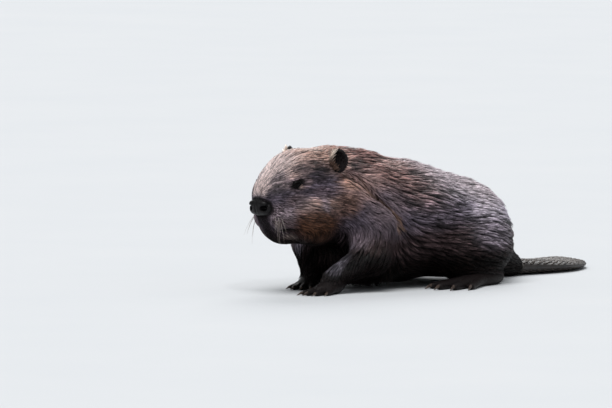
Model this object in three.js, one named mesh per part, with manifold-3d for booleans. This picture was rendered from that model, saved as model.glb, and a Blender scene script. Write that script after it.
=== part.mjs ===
// A life-size North American beaver. It stands on its forelegs, with its hindquarters crouched low and its
// flat tail laid on the floor. The solids hold the outline of the wet coat, out to the tips of the hair.
// Millimetres, +Z up. The nose points to -Y and the animal's own left side is +X. The floor is z = 0.
import * as THREE from "three";
import { mergeVertices } from "three/addons/utils/BufferGeometryUtils.js";
import Module from "manifold-3d";

const wasm = await Module();
wasm.setup();

// ---- Driving dimensions -------------------------------------------------------------------------
// While the animal is being built, y = 0 is at the tip of the nose and lengths are those of a young adult.
// At the end it is made full grown, GROWTH times as large all over, and centred on its own box.
const GROWTH = 1.08;
const NOSE_HEIGHT = 135; // floor to the middle of the nose
const CROWN_HEIGHT = 216; // floor to the top of the head between the ears
const NAPE_HEIGHT = 218; // the highest point of the animal
const RUMP_HEIGHT = 166; // floor to the top of the back over the hips
const HEAD_LENGTH = 152; // nose to the back of the skull
const HEAD_HALF_WIDTH = 62; // across the cheeks
const SHOULDER_HALF_WIDTH = 86;
const BARREL_HALF_WIDTH = 108;
const HIP_HALF_WIDTH = 124;
const BODY_LENGTH = 500; // nose to the end of the rump, with the back arched
const EYE_RADIUS = 6.6;
const EAR_HEIGHT = 35;
const EAR_OUT = 54; // of an ear's centre from the middle
const EAR_BACK = 122; // and from the tip of the nose
const EAR_UP = 197;
const TAIL_LENGTH = 232; // of the bare, scaly blade
const TAIL_HALF_WIDTH = 58;
const TAIL_HALF_THICKNESS = 8.5;
const FOREFOOT_LENGTH = 52; // wrist to the end of the middle toe, without its claw
const HINDFOOT_LENGTH = 148; // heel to the end of the middle toe, without its claw

const GAP = 0.4; // left between neighbouring solids
const FACET_SLACK = 4 * GAP; // how far a coarse outline is grown before it cuts what grows out of it
const FAR = 2400; // a length beyond every part of the animal

const SIDES = { left: 1, right: -1 }; // sign of x
const vec = (x, y, z) => new THREE.Vector3(x, y, z);

// ---- Materials ----------------------------------------------------------------------------------
const material = (color, roughness) =>
  new THREE.MeshStandardMaterial({ color, roughness, metalness: 0 });
const COAT = material(0x4e382c, 0.55);
const FACE_COAT = material(0x5c463a, 0.6);
const BARE_SKIN = material(0x2a2422, 0.6);
const TAIL_SKIN = material(0x2c2825, 0.5);
const NOSE_SKIN = material(0x171414, 0.4);
const CLAW_HORN = material(0x2f2620, 0.4);
const EYE_GLOSS = material(0x0c0807, 0.08);

// ---- Distance fields ----------------------------------------------------------------------------
// Each form is a function of x, y, z that gives roughly the distance to its surface, negative inside.

// An ellipsoid about (cx, cy, cz), pitched about the x axis so that its front end dips by `pitch` degrees.
function ellipsoid([cx, cy, cz], [rx, ry, rz], pitch = 0) {
  const cos = Math.cos(THREE.MathUtils.degToRad(pitch));
  const sin = Math.sin(THREE.MathUtils.degToRad(pitch));
  return (x, y, z) => {
    const dx = x - cx;
    const dy = (y - cy) * cos + (z - cz) * sin;
    const dz = (z - cz) * cos - (y - cy) * sin;
    const scaled = Math.hypot(dx / rx, dy / ry, dz / rz);
    const slope = Math.hypot(dx / (rx * rx), dy / (ry * ry), dz / (rz * rz));
    return slope > 0 ? (scaled * (scaled - 1)) / slope : -Math.min(rx, ry, rz);
  };
}

// A limb segment from a to b, of radius ra at a and rb at b.
function segment([ax, ay, az], [bx, by, bz], ra, rb) {
  const ux = bx - ax;
  const uy = by - ay;
  const uz = bz - az;
  const lengthSquared = ux * ux + uy * uy + uz * uz;
  return (x, y, z) => {
    const along = ((x - ax) * ux + (y - ay) * uy + (z - az) * uz) / lengthSquared;
    const t = Math.min(1, Math.max(0, along));
    const away = Math.hypot(x - ax - t * ux, y - ay - t * uy, z - az - t * uz);
    return away - (ra + (rb - ra) * t);
  };
}

// Two distances joined with a fillet about `blend` wide.
function smoothMin(a, b, blend) {
  const h = Math.max(0, blend - Math.abs(a - b)) / blend;
  return Math.min(a, b) - (h * h * blend) / 4;
}

// Forms melted into one, each as [form, width of the fillet by which it joins those before it].
function melted(forms) {
  return (x, y, z) => {
    let distance = forms[0][0](x, y, z);
    for (let i = 1; i < forms.length; i++) {
      const [form, blend] = forms[i];
      distance = smoothMin(distance, form(x, y, z), blend);
    }
    return distance;
  };
}

// The same form on both sides, from a maker that takes the sign of x.
const bothSides = (make, blend) => Object.values(SIDES).map((s) => [make(s), blend]);

// ---- Joints of the limbs ------------------------------------------------------------------------
// The left forefoot is a step ahead of the right one.
const FORELEGS = {
  left: { shoulder: [58, 194, 108], elbow: [67, 178, 52], wrist: [56, 106, 23], toeTurn: 2 },
  right: { shoulder: [-54, 183, 108], elbow: [-57, 173, 70], wrist: [-51, 168, 24], toeTurn: -30 },
};
const HEEL = [92, 418, 17];
const HINDFOOT_TURN = 10; // degrees by which the hind toes point outwards
const TAIL_ROOT = [0, 476, 50];
const TAIL_NECK = [-4, 544, 19];
const TAIL_BEND = 25; // degrees by which the blade swings to the animal's right

// ---- The coat's outline -------------------------------------------------------------------------
const CHEEK_OUT = HEAD_HALF_WIDTH - 31;
const SHOULDER_OUT = SHOULDER_HALF_WIDTH - 34;
const THIGH_OUT = HIP_HALF_WIDTH - 43;
const headForms = [
  [ellipsoid([0, 47, NOSE_HEIGHT + 13], [35, 42, 39], 16)], // bridge of the muzzle
  [ellipsoid([0, 45, NOSE_HEIGHT - 8], [29, 34, 34], -6), 10], // front of the muzzle
  ...bothSides((s) => ellipsoid([s * 17, 48, NOSE_HEIGHT - 21], [18, 28, 20]), 8), // whisker pads
  [ellipsoid([0, 92, CROWN_HEIGHT - 48], [53, 58, 48], 4), 14], // skull
  [ellipsoid([0, 64, NOSE_HEIGHT - 40], [26, 36, 22]), 10], // lower jaw and chin
  ...bothSides((s) => ellipsoid([s * CHEEK_OUT, 92, NOSE_HEIGHT - 22], [32, 48, 42]), 16), // cheeks
  ...bothSides((s) => ellipsoid([s * 27, 60, NOSE_HEIGHT + 39], [13, 22, 11], 18), 12), // brows
  ...bothSides((s) => ellipsoid([s * 38, 124, CROWN_HEIGHT - 40], [16, 20, 18]), 12), // roots of the ears
];
const neckForms = [
  [ellipsoid([0, HEAD_LENGTH, NAPE_HEIGHT - 69], [67, 66, 69]), 18],
  [ellipsoid([0, 122, NOSE_HEIGHT - 24], [47, 46, 42]), 16], // throat
];
const trunkForms = [
  [ellipsoid([0, 210, 126], [76, 84, 86]), 26], // chest
  ...bothSides((s) => ellipsoid([s * SHOULDER_OUT, 200, 116], [34, 46, 60]), 20), // shoulders
  [ellipsoid([0, 294, 101], [BARREL_HALF_WIDTH, 108, 92]), 26], // barrel
  [ellipsoid([0, 270, 58], [80, 80, 47]), 24], // belly, low behind the forelegs
  [ellipsoid([0, 218, 46], [70, 52, 36]), 20], // brisket between the elbows
  [ellipsoid([0, BODY_LENGTH - 106, RUMP_HEIGHT - 80], [111, 106, 80], -7), 32], // rump
  ...bothSides((s) => ellipsoid([s * THIGH_OUT, 380, 58], [43, 78, 56]), 22), // thighs
  [segment(TAIL_ROOT, TAIL_NECK, 42, 20), 30], // root of the tail
  ...bothSides((s) => segment([s * 14, 500, 30], [s * 13 - 4, 546, 14], 24, 13), 14),
];
const forelegForms = Object.values(FORELEGS).flatMap(({ shoulder, elbow, wrist }) => [
  [segment(shoulder, elbow, 34, 28), 18],
  [segment(elbow, wrist, 26, 15), 12],
]);
const headCoat = melted([...headForms, ...neckForms]);
const bodyCoat = melted([...neckForms, ...trunkForms, ...forelegForms]);
const coat = (x, y, z) => Math.min(headCoat(x, y, z), bodyCoat(x, y, z));
const grown = (form) => (x, y, z) => form(x, y, z) - FACET_SLACK;

// How coarse each part's facets are: [mm across, mm from front to back].
const CELLS = {
  head: [13, 13],
  nose: [6, 6],
  neck: [19, 24],
  chest: [21, 27],
  barrel: [22, 32],
  rump: [23, 29],
  tail_root: [15, 18],
  foreleg: [13.5, 13.5],
  hindleg: [18, 18],
};

// ---- Solids -------------------------------------------------------------------------------------
function solidOf(geometry) {
  const bare = geometry.clone();
  for (const name of Object.keys(bare.attributes)) {
    if (name !== "position") bare.deleteAttribute(name);
  }
  const merged = mergeVertices(bare, 1e-4);
  const vertProperties = merged.attributes.position.array;
  const triVerts = new Uint32Array(merged.index.array);
  return new wasm.Manifold(new wasm.Mesh({ numProp: 3, vertProperties, triVerts }));
}

function geometryOf(solid) {
  const mesh = solid.getMesh();
  const geometry = new THREE.BufferGeometry();
  geometry.setAttribute("position", new THREE.BufferAttribute(mesh.vertProperties, 3));
  geometry.setIndex(new THREE.BufferAttribute(mesh.triVerts, 1));
  return geometry;
}

// The largest body of a solid, without the crumbs that a cut can leave.
function mainBody(solid) {
  const bodies = solid.decompose();
  return bodies.reduce((best, body) => (body.volume() > best.volume() ? body : best));
}

const joined = (solids) => solids.reduce((sum, solid) => sum.add(solid));

// The part of space behind the plane through `point`, seen along `normal`.
function halfSpace(point, normal) {
  const box = new THREE.BoxGeometry(FAR, FAR, FAR).translate(0, 0, -FAR / 2);
  const turn = new THREE.Quaternion().setFromUnitVectors(vec(0, 0, 1), normal.clone().normalize());
  return solidOf(box.applyQuaternion(turn).translate(point.x, point.y, point.z));
}

// Cuts a solid in two at a plane, and leaves GAP between the halves.
function partedAt(solid, point, normal) {
  const step = normal.clone().setLength(GAP / 2);
  const behind = solid.intersect(halfSpace(point.clone().sub(step), normal));
  const ahead = solid.intersect(halfSpace(point.clone().add(step), normal.clone().negate()));
  return [behind, ahead];
}

function boxSolid([x0, y0, z0], [x1, y1, z1], grow) {
  const size = [x1 - x0 + 2 * grow, y1 - y0 + 2 * grow, z1 - z0 + 2 * grow];
  const box = new THREE.BoxGeometry(...size);
  return solidOf(box.translate((x0 + x1) / 2, (y0 + y1) / 2, (z0 + z1) / 2));
}

const ABOVE_FLOOR = halfSpace(vec(0, 0, 0), vec(0, 0, -1));

// A closed skin where `field` is zero, on a grid of `cell` = [x, y, z] mm between two corners. Each grid
// cell that the surface crosses holds one vertex, at the mean of its edges' crossings.
function netGeometry(field, lowest, highest, cell) {
  const low = lowest.map((v, axis) => v - 2 * cell[axis]);
  const count = highest.map((v, axis) => Math.ceil((v - lowest[axis]) / cell[axis]) + 5);
  const [nx, ny, nz] = count;
  const at = (i, j, k) => i + nx * (j + ny * k);
  const values = new Float32Array(nx * ny * nz);
  const smallest = Math.min(...cell);
  for (let k = 0; k < nz; k++) {
    for (let j = 0; j < ny; j++) {
      for (let i = 0; i < nx; i++) {
        const rim = i === 0 || j === 0 || k === 0 || i === nx - 1 || j === ny - 1 || k === nz - 1;
        const value = field(low[0] + i * cell[0], low[1] + j * cell[1], low[2] + k * cell[2]);
        values[at(i, j, k)] = rim ? Math.max(value, smallest / 2) : value;
      }
    }
  }
  const positions = [];
  const vertexOf = new Int32Array(nx * ny * nz).fill(-1);
  for (let k = 0; k < nz - 1; k++) {
    for (let j = 0; j < ny - 1; j++) {
      for (let i = 0; i < nx - 1; i++) {
        const crossing = meanCrossing(values, at, i, j, k);
        if (!crossing) continue;
        vertexOf[at(i, j, k)] = positions.length / 3;
        const place = [i, j, k].map((n, axis) => low[axis] + (n + crossing[axis]) * cell[axis]);
        positions.push(...ontoSurface(field, place, smallest / 2));
      }
    }
  }
  const geometry = new THREE.BufferGeometry();
  geometry.setAttribute("position", new THREE.Float32BufferAttribute(positions, 3));
  geometry.setIndex(netFaces(values, vertexOf, at, count));
  return geometry;
}

const CORNERS = [0, 1, 2, 3, 4, 5, 6, 7].map((n) => [n & 1, (n >> 1) & 1, n >> 2]);
const EDGES = CORNERS.flatMap((a, m) =>
  CORNERS.slice(m + 1)
    .filter((b) => a.reduce((sum, v, axis) => sum + Math.abs(v - b[axis]), 0) === 1)
    .map((b) => [a, b]),
);

function meanCrossing(values, at, i, j, k) {
  const sum = [0, 0, 0];
  let crossings = 0;
  for (const [a, b] of EDGES) {
    const va = values[at(i + a[0], j + a[1], k + a[2])];
    const vb = values[at(i + b[0], j + b[1], k + b[2])];
    if (va < 0 === vb < 0) continue;
    const t = va / (va - vb);
    for (let axis = 0; axis < 3; axis++) sum[axis] += a[axis] + t * (b[axis] - a[axis]);
    crossings += 1;
  }
  return crossings ? sum.map((v) => v / crossings) : null;
}

// One step down the slope of the field, no longer than `reach`.
function ontoSurface(field, [x, y, z], reach) {
  const e = 0.05;
  const value = field(x, y, z);
  const slope = vec(
    field(x + e, y, z) - field(x - e, y, z),
    field(x, y + e, z) - field(x, y - e, z),
    field(x, y, z + e) - field(x, y, z - e),
  ).divideScalar(2 * e);
  const step = slope.multiplyScalar(-value / Math.max(slope.lengthSq(), 0.1));
  step.clampLength(0, reach);
  return [x + step.x, y + step.y, z + step.z];
}

function netFaces(values, vertexOf, at, [nx, ny, nz]) {
  const index = [];
  const axes = [
    [1, 0, 0],
    [0, 1, 0],
    [0, 0, 1],
  ];
  for (let k = 0; k < nz - 1; k++) {
    for (let j = 0; j < ny - 1; j++) {
      for (let i = 0; i < nx - 1; i++) {
        axes.forEach((axis, n) => {
          const inside = values[at(i, j, k)] < 0;
          if (inside === values[at(i + axis[0], j + axis[1], k + axis[2])] < 0) return;
          const [u, v] = [axes[(n + 1) % 3], axes[(n + 2) % 3]];
          const corner = (a, b) =>
            vertexOf[at(i - a * u[0] - b * v[0], j - a * u[1] - b * v[1], k - a * u[2] - b * v[2])];
          const quad = [corner(0, 0), corner(1, 0), corner(1, 1), corner(0, 1)];
          if (!inside) quad.reverse();
          index.push(quad[0], quad[1], quad[2], quad[0], quad[2], quad[3]);
        });
      }
    }
  }
  return index;
}

const netSolid = (field, low, high, [across, along]) =>
  solidOf(netGeometry(field, low, high, [across, along, across]));

// A closed tube along a smooth curve through `points`, with the half width and half height profile(t) there.
function tube(points, profile, sides, steps) {
  const curve = new THREE.CatmullRomCurve3(points.map((p) => vec(...p)));
  const positions = [];
  const index = [];
  for (let n = 0; n <= steps; n++) {
    const centre = curve.getPoint(n / steps);
    const tangent = curve.getTangent(n / steps);
    const side = vec(0, 0, 1).cross(tangent).normalize();
    const rise = tangent.clone().cross(side);
    const [halfWidth, halfHeight] = profile(n / steps);
    for (let m = 0; m < sides; m++) {
      const angle = (2 * Math.PI * m) / sides;
      const place = centre.clone().addScaledVector(side, halfWidth * Math.cos(angle));
      place.addScaledVector(rise, halfHeight * Math.sin(angle));
      positions.push(...place);
      const next = (m + 1) % sides;
      if (n < steps) {
        const [a, b] = [n * sides + m, n * sides + next];
        index.push(a, b, b + sides, a, b + sides, a + sides);
      }
    }
  }
  [0, steps].forEach((n) => {
    const hub = positions.length / 3;
    positions.push(...curve.getPoint(n / steps));
    for (let m = 0; m < sides; m++) {
      const [a, b] = [n * sides + m, n * sides + ((m + 1) % sides)];
      index.push(...(n === 0 ? [hub, b, a] : [hub, a, b]));
    }
  });
  const geometry = new THREE.BufferGeometry();
  geometry.setAttribute("position", new THREE.Float32BufferAttribute(positions, 3));
  geometry.setIndex(index);
  return solidOf(geometry);
}

// ---- Head ---------------------------------------------------------------------------------------
const EYE_CENTRES = Object.fromEntries(
  Object.entries(SIDES).map(([side, s]) => [side, vec(s * 37.4, 48.6, NOSE_HEIGHT + 30.5)]),
);

const eyeSphere = (side, grow = 0) =>
  solidOf(new THREE.SphereGeometry(EYE_RADIUS + grow, 10, 6).translate(...EYE_CENTRES[side]));

// The nose pad stands proud of the muzzle. Two nostrils open forwards and outwards.
function nosePad(grow) {
  const pad = melted([
    [ellipsoid([0, 9, NOSE_HEIGHT - 3], [14 + grow, 9 + grow, 13 + grow])],
    ...bothSides((s) => ellipsoid([s * 11, 12, NOSE_HEIGHT - 5], [9 + grow, 9 + grow, 10 + grow]), 5),
  ]);
  return netSolid(pad, [-22, -2, NOSE_HEIGHT - 18], [22, 23, NOSE_HEIGHT + 12], CELLS.nose);
}
const nostril = (s) =>
  solidOf(
    new THREE.SphereGeometry(1, 7, 5)
      .scale(4.4, 7, 3.4)
      .rotateZ(s * THREE.MathUtils.degToRad(35))
      .translate(s * 12.6, 3, NOSE_HEIGHT - 6),
  );
const noseSolid = () => Object.values(SIDES).reduce((nose, s) => nose.subtract(nostril(s)), nosePad(0));

// An ear is a round, thick-edged cup that opens forwards and outwards.
function earSolid(side) {
  const s = SIDES[side];
  const bowl = (width, depth, height, forward) =>
    solidOf(
      new THREE.SphereGeometry(1, 9, 6)
        .scale(width / 2, depth, height / 2)
        .translate(0, -forward, 0)
        .rotateX(THREE.MathUtils.degToRad(-12))
        .rotateZ(s * THREE.MathUtils.degToRad(38))
        .translate(s * EAR_OUT, EAR_BACK, EAR_UP),
    );
  const outside = bowl(EAR_HEIGHT * 0.74, 8, EAR_HEIGHT, 0);
  return outside.subtract(bowl(EAR_HEIGHT * 0.56, 7.5, EAR_HEIGHT * 0.8, 5));
}

// ---- Feet ---------------------------------------------------------------------------------------
// Points in a foot's own frame: `ahead` mm before [x, y], `out` mm to its outer side, `up` above the floor.
// `s` is the sign of the foot's side, and the foot is turned outwards by `turn` degrees.
function footFrame([x, y], s, turn) {
  const angle = THREE.MathUtils.degToRad(turn) * s;
  const forward = vec(Math.sin(angle), -Math.cos(angle), 0);
  const outward = vec(Math.cos(angle), Math.sin(angle), 0).multiplyScalar(s);
  return (ahead, out, up) => {
    const place = vec(x, y, up).addScaledVector(forward, ahead).addScaledVector(outward, out);
    return [place.x, place.y, place.z];
  };
}

// A claw `length` mm long from (ahead, out) in the foot's frame, curving down to just above the floor.
function claw(place, ahead, out, spread, length, radius) {
  const along = (t) => [ahead + length * t, out + spread * length * t];
  const top = radius + 1.4;
  const points = [0, 0.5, 1].map((t) => place(...along(t), top - (top - 1.2) * t * t));
  return tube(points, (t) => [radius * 0.8 * (1 - 0.85 * t), radius * (1 - 0.85 * t)], 4, 2);
}

// Toes as [how far ahead the knuckle is, how far out, how far out per mm ahead, length, half thickness].
const FOREFOOT_TOES = [
  [14, -13, -0.42, 18, 4.6],
  [22, -8, -0.18, 26, 5],
  [24, 0, 0, FOREFOOT_LENGTH - 24, 5.2],
  [22, 8, 0.18, 26, 5],
  [14, 13, 0.42, 19, 4.6],
];
const HINDFOOT_TOES = [
  [66, -19, -0.3, 46, 6],
  [74, -11, -0.16, 62, 6.6],
  [78, -1, 0.02, HINDFOOT_LENGTH - 78, 7.2],
  [74, 9, 0.2, 68, 7],
  [66, 17, 0.38, 54, 6.4],
];

function toe(place, [ahead, out, spread, length, radius], startUp) {
  const points = [
    place(ahead - 8, out - 8 * spread, startUp),
    place(ahead + length * 0.45, out + spread * length * 0.45, radius * 0.86 - 0.6),
    place(ahead + length, out + spread * length, radius * 0.72 - 0.4),
  ];
  return tube(points, (t) => [radius * (1 - 0.22 * t), radius * (1 - 0.28 * t)], 5, 2);
}

function toeClaws(side, foot, place, toes, length, radius) {
  toes.forEach(([ahead, out, spread, toeLength], n) => {
    const start = ahead + toeLength + GAP;
    const solid = claw(place, start, out + spread * (toeLength + GAP), spread, length, radius);
    add(`${foot}_claw_${side}_${n + 1}`, solid.intersect(ABOVE_FLOOR), CLAW_HORN);
  });
}

// The web of a hind foot fills the fan between its toes, with a hollow edge between each two toe ends.
function webSolid(place, toes) {
  const end = ([ahead, out, spread, length], share) => {
    const reach = length * share;
    return place(ahead + reach, out + spread * reach, 0);
  };
  const shape = new THREE.Shape();
  shape.moveTo(...end(toes[0], -0.6).slice(0, 2));
  shape.lineTo(...end(toes[0], 0.86).slice(0, 2));
  toes.slice(1).forEach((next, n) => {
    const [a, b] = [end(toes[n], 0.66), end(next, 0.66)];
    const hollow = [(a[0] + b[0]) / 2, (a[1] + b[1]) / 2];
    shape.quadraticCurveTo(...hollow, ...end(next, 0.86).slice(0, 2));
  });
  shape.lineTo(...end(toes[toes.length - 1], -0.6).slice(0, 2));
  const options = { depth: 4, bevelEnabled: false, curveSegments: 2 };
  return solidOf(new THREE.ExtrudeGeometry(shape, options).translate(0, 0, 1.2));
}

// ---- The animal ---------------------------------------------------------------------------------
const beaver = new THREE.Group();

function add(name, solid, surface) {
  const mesh = new THREE.Mesh(geometryOf(mainBody(solid)), surface);
  mesh.name = name;
  beaver.add(mesh);
}

// Where the trunk is parted, from front to back: [a point on the cut, the way backwards across it].
const HEAD_CUT = [vec(0, 137, 150), vec(0, 1, 0.2)];
const NECK_CUT = [vec(0, 182, 150), vec(0, 1, 0.35)];
const CHEST_CUT = [vec(0, 262, 110), vec(0, 1, 0.1)];
const BARREL_CUT = [vec(0, 352, 100), vec(0, 1, -0.1)];
const RUMP_CUT = [vec(0, 500, 50), vec(0, 1, -0.25)];
const TAIL_ROOT_SPAN = [
  [-80, 470, -12],
  [80, 580, 110],
];

// Boxes that hold each leg's share of the coat, as [lowest corner, highest corner] on the animal's left.
const LEG_BOXES = {
  fore: [
    [[22, 154, -20], [140, 236, 86]],
    [[22, 40, -20], [140, 170, 60]],
  ],
  hind: [[[78, 286, -20], [160, 476, 104]]],
};
const sided = ([low, high], s) =>
  s > 0 ? [low, high] : [[-high[0], low[1], low[2]], [-low[0], high[1], high[2]]];
const legRegion = (leg, s, grow) =>
  joined(LEG_BOXES[leg].map((box) => boxSolid(...sided(box, s), grow)));
function legSpan(leg, s) {
  const box = new THREE.Box3();
  const corners = LEG_BOXES[leg].flatMap((pair) => sided(pair, s));
  corners.forEach((corner) => box.expandByPoint(vec(...corner)));
  return [box.min.toArray(), box.max.toArray()];
}

function makeTrunk() {
  const legs = Object.keys(LEG_BOXES).flatMap((leg) =>
    Object.values(SIDES).map((s) => legRegion(leg, s, GAP / 2)),
  );
  const withoutLegs = joined(legs);
  const addSlab = (name, ahead, behind, low, high) => {
    let solid = netSolid(coat, low, high, CELLS[name]).intersect(ABOVE_FLOOR);
    solid = partedAt(solid, ...ahead)[1];
    if (behind) solid = partedAt(solid, ...behind)[0];
    add(name, solid.subtract(withoutLegs), COAT);
  };
  addSlab("neck", HEAD_CUT, NECK_CUT, [-90, 100, 30], [90, 250, 235]);
  addSlab("chest", NECK_CUT, CHEST_CUT, [-130, 140, -10], [130, 300, 235]);
  addSlab("barrel", CHEST_CUT, BARREL_CUT, [-150, 230, -12], [150, 400, 220]);
  addSlab("rump", BARREL_CUT, RUMP_CUT, [-160, 320, -14], [160, 540, 200]);
  addSlab("tail_root", RUMP_CUT, null, ...TAIL_ROOT_SPAN);
}

function makeHead() {
  const low = [-80, -16, 50];
  const high = [80, 175, 230];
  let head = partedAt(netSolid(headCoat, low, high, CELLS.head), ...HEAD_CUT)[0];
  head = head.subtract(nosePad(FACET_SLACK));
  for (const side of Object.keys(SIDES)) head = head.subtract(eyeSphere(side, GAP));
  add("head", head, FACE_COAT);
  add("nose", noseSolid(), NOSE_SKIN);
  const coatAround = netSolid(grown(coat), low, high, CELLS.head);
  for (const side of Object.keys(SIDES)) {
    add(`ear_${side}`, earSolid(side).subtract(coatAround), BARE_SKIN);
    add(`eye_${side}`, eyeSphere(side), EYE_GLOSS);
  }
}

function makeForeleg(side) {
  const s = SIDES[side];
  const { elbow, wrist, toeTurn } = FORELEGS[side];
  const span = legSpan("fore", s);
  const limb = netSolid(bodyCoat, ...span, CELLS.foreleg).intersect(legRegion("fore", s, -GAP / 2));
  const down = vec(...wrist).sub(vec(...elbow));
  const [leg, wristEnd] = partedAt(limb, vec(...wrist), down);
  add(`foreleg_${side}`, leg.intersect(ABOVE_FLOOR), COAT);

  const place = footFrame([wrist[0], wrist[1]], s, toeTurn);
  const palm = tube(
    [place(-6, 0, 13), place(12, 0, 9.5), place(FOREFOOT_LENGTH * 0.55, 0, 4.4)],
    (t) => [13 + 5 * Math.sin(Math.PI * 0.75 * t), 12.5 - 8 * t],
    8,
    3,
  );
  const toes = FOREFOOT_TOES.map((entry) => toe(place, entry, 8));
  const beyondWrist = partedAt(joined([palm, ...toes]), vec(...wrist), down)[1];
  add(`forefoot_${side}`, beyondWrist.add(wristEnd).intersect(ABOVE_FLOOR), BARE_SKIN);
  toeClaws(side, "fore", place, FOREFOOT_TOES, 13, 2.9);
}

function makeHindleg(side) {
  const s = SIDES[side];
  const span = legSpan("hind", s);
  const limb = netSolid(bodyCoat, ...span, CELLS.hindleg).intersect(legRegion("hind", s, -GAP / 2));
  add(`hindleg_${side}`, limb.intersect(ABOVE_FLOOR), COAT);

  const place = footFrame([s * HEEL[0], HEEL[1]], s, HINDFOOT_TURN);
  const sole = tube(
    [place(0, 0, 14), place(40, 0, 11), place(86, 0, 7.4)],
    (t) => [14 + 11 * t * t, 15 - 7 * t],
    8,
    3,
  );
  const toes = HINDFOOT_TOES.map((entry) => toe(place, entry, 9));
  const foot = joined([sole, webSolid(place, HINDFOOT_TOES), ...toes]).intersect(ABOVE_FLOOR);
  const thigh = netSolid(grown(bodyCoat), ...span, CELLS.hindleg);
  add(`hindfoot_${side}`, foot.subtract(thigh), BARE_SKIN);
  toeClaws(side, "hind", place, HINDFOOT_TOES, 17, 3.6);
}

// The blade of the tail, thick along its middle and thin at its edges, rests on the floor.
function makeTail() {
  const bend = THREE.MathUtils.degToRad(TAIL_BEND);
  const [x, y] = TAIL_NECK;
  const points = [0, 0.33, 0.66, 1].map((t) => {
    const angle = bend * (0.35 + 0.65 * t);
    const reach = TAIL_LENGTH * t;
    const height = 14 - 7 * Math.min(1, 1.6 * t);
    return [x - reach * Math.sin(angle), y + 6 + reach * Math.cos(angle), height];
  });
  const halfWidth = (t) => {
    const spread = THREE.MathUtils.smoothstep(t, -0.1, 0.5);
    const tip = Math.max(0, (t - 0.5) / 0.5) ** 2.6;
    return Math.max(3, TAIL_HALF_WIDTH * (0.4 + 0.6 * spread) * Math.sqrt(1 - tip));
  };
  const halfHeight = (t) => TAIL_HALF_THICKNESS * (1.35 - 0.75 * t);
  const blade = tube(points, (t) => [halfWidth(t), halfHeight(t)], 12, 12);
  const root = netSolid(grown(coat), ...TAIL_ROOT_SPAN, CELLS.tail_root);
  add("tail", blade.intersect(ABOVE_FLOOR).subtract(root), TAIL_SKIN);
}

makeHead();
makeTrunk();
for (const side of Object.keys(SIDES)) {
  makeForeleg(side);
  makeHindleg(side);
}
makeTail();

// Full size, with the origin on the floor under the middle of the animal's box.
beaver.scale.setScalar(GROWTH);
const bounds = new THREE.Box3().setFromObject(beaver);
const middle = bounds.getCenter(new THREE.Vector3());
beaver.position.set(-middle.x, -middle.y, -bounds.min.z);

export default beaver;
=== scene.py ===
import math

import bpy
import numpy as np
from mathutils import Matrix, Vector
from mathutils.kdtree import KDTree


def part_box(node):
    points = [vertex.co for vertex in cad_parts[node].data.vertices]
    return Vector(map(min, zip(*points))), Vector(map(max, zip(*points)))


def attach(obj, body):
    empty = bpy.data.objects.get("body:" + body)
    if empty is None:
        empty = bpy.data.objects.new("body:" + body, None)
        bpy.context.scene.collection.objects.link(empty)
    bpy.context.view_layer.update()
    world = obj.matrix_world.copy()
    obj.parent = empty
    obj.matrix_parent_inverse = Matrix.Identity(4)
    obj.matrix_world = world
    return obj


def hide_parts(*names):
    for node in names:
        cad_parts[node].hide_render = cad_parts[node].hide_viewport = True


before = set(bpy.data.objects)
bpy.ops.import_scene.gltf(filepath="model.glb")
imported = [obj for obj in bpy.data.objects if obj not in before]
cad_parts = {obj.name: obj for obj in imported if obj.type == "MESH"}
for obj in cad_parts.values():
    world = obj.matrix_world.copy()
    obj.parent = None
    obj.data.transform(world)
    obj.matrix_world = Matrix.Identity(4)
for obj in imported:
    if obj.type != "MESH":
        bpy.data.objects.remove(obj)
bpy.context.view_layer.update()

RNG = np.random.default_rng(20)
SIDES = {"left": 1, "right": -1}  # sign of x

# ---- Driving dimensions ----
GROWTH = 1.08  # the full-grown animal over the one drawn here
NOSE_HEIGHT = 135
CROWN_HEIGHT = 216
NAPE_HEIGHT = 218
RUMP_HEIGHT = 166
HEAD_LENGTH = 152
HEAD_HALF_WIDTH = 62
SHOULDER_HALF_WIDTH = 86
BARREL_HALF_WIDTH = 108
HIP_HALF_WIDTH = 124
BODY_LENGTH = 500
EYE_RADIUS = 6.6
EYE_OUT, EYE_BACK, EYE_UP = 37.4, 48.6, NOSE_HEIGHT + 30.5
EAR_HEIGHT = 35
EAR_OUT, EAR_BACK, EAR_UP = 54, 122, 197
TAIL_LENGTH = 232
TAIL_HALF_WIDTH = 58
TAIL_HALF_THICKNESS = 8.5
TAIL_ROOT = (0, 476, 50)
TAIL_NECK = (-4, 544, 19)
TAIL_BEND = 25  # degrees to the animal's right
HEEL = (92, 418)  # of the left foot, out and back
HINDFOOT_TURN = 10  # degrees outwards
# The forelegs' joints, and how many degrees their feet turn outwards.
FORELEGS = {
    "left": {"shoulder": (58, 194, 108), "elbow": (67, 178, 52), "wrist": (56, 106, 23), "turn": 2},
    "right": {"shoulder": (-54, 183, 108), "elbow": (-57, 173, 70), "wrist": (-51, 168, 24), "turn": -30},
}
# Toes as (how far ahead the knuckle is, how far out, how far out per mm ahead, length, half thickness).
FORE_TOES = [(14, -13, -0.42, 18, 4.6), (22, -8, -0.18, 26, 5), (24, 0, 0, 28, 5.2), (22, 8, 0.18, 26, 5),
             (14, 13, 0.42, 19, 4.6)]
HIND_TOES = [(66, -19, -0.3, 46, 6), (74, -11, -0.16, 62, 6.6), (78, -1, 0.02, 70, 7.2),
             (74, 9, 0.2, 68, 7), (66, 17, 0.38, 54, 6.4)]
FORE_CLAW, HIND_CLAW = (13, 2.9), (17, 3.6)  # length, and half thickness at the root

METRES = GROWTH / 1000
_eye_low, _eye_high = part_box("eye_left")
SHIFT = np.array([0, (_eye_low[1] + _eye_high[1]) / 2 - EYE_BACK * METRES, 0])


def in_row_frame(points):
    return np.asarray(points, float) * METRES + SHIFT


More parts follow.
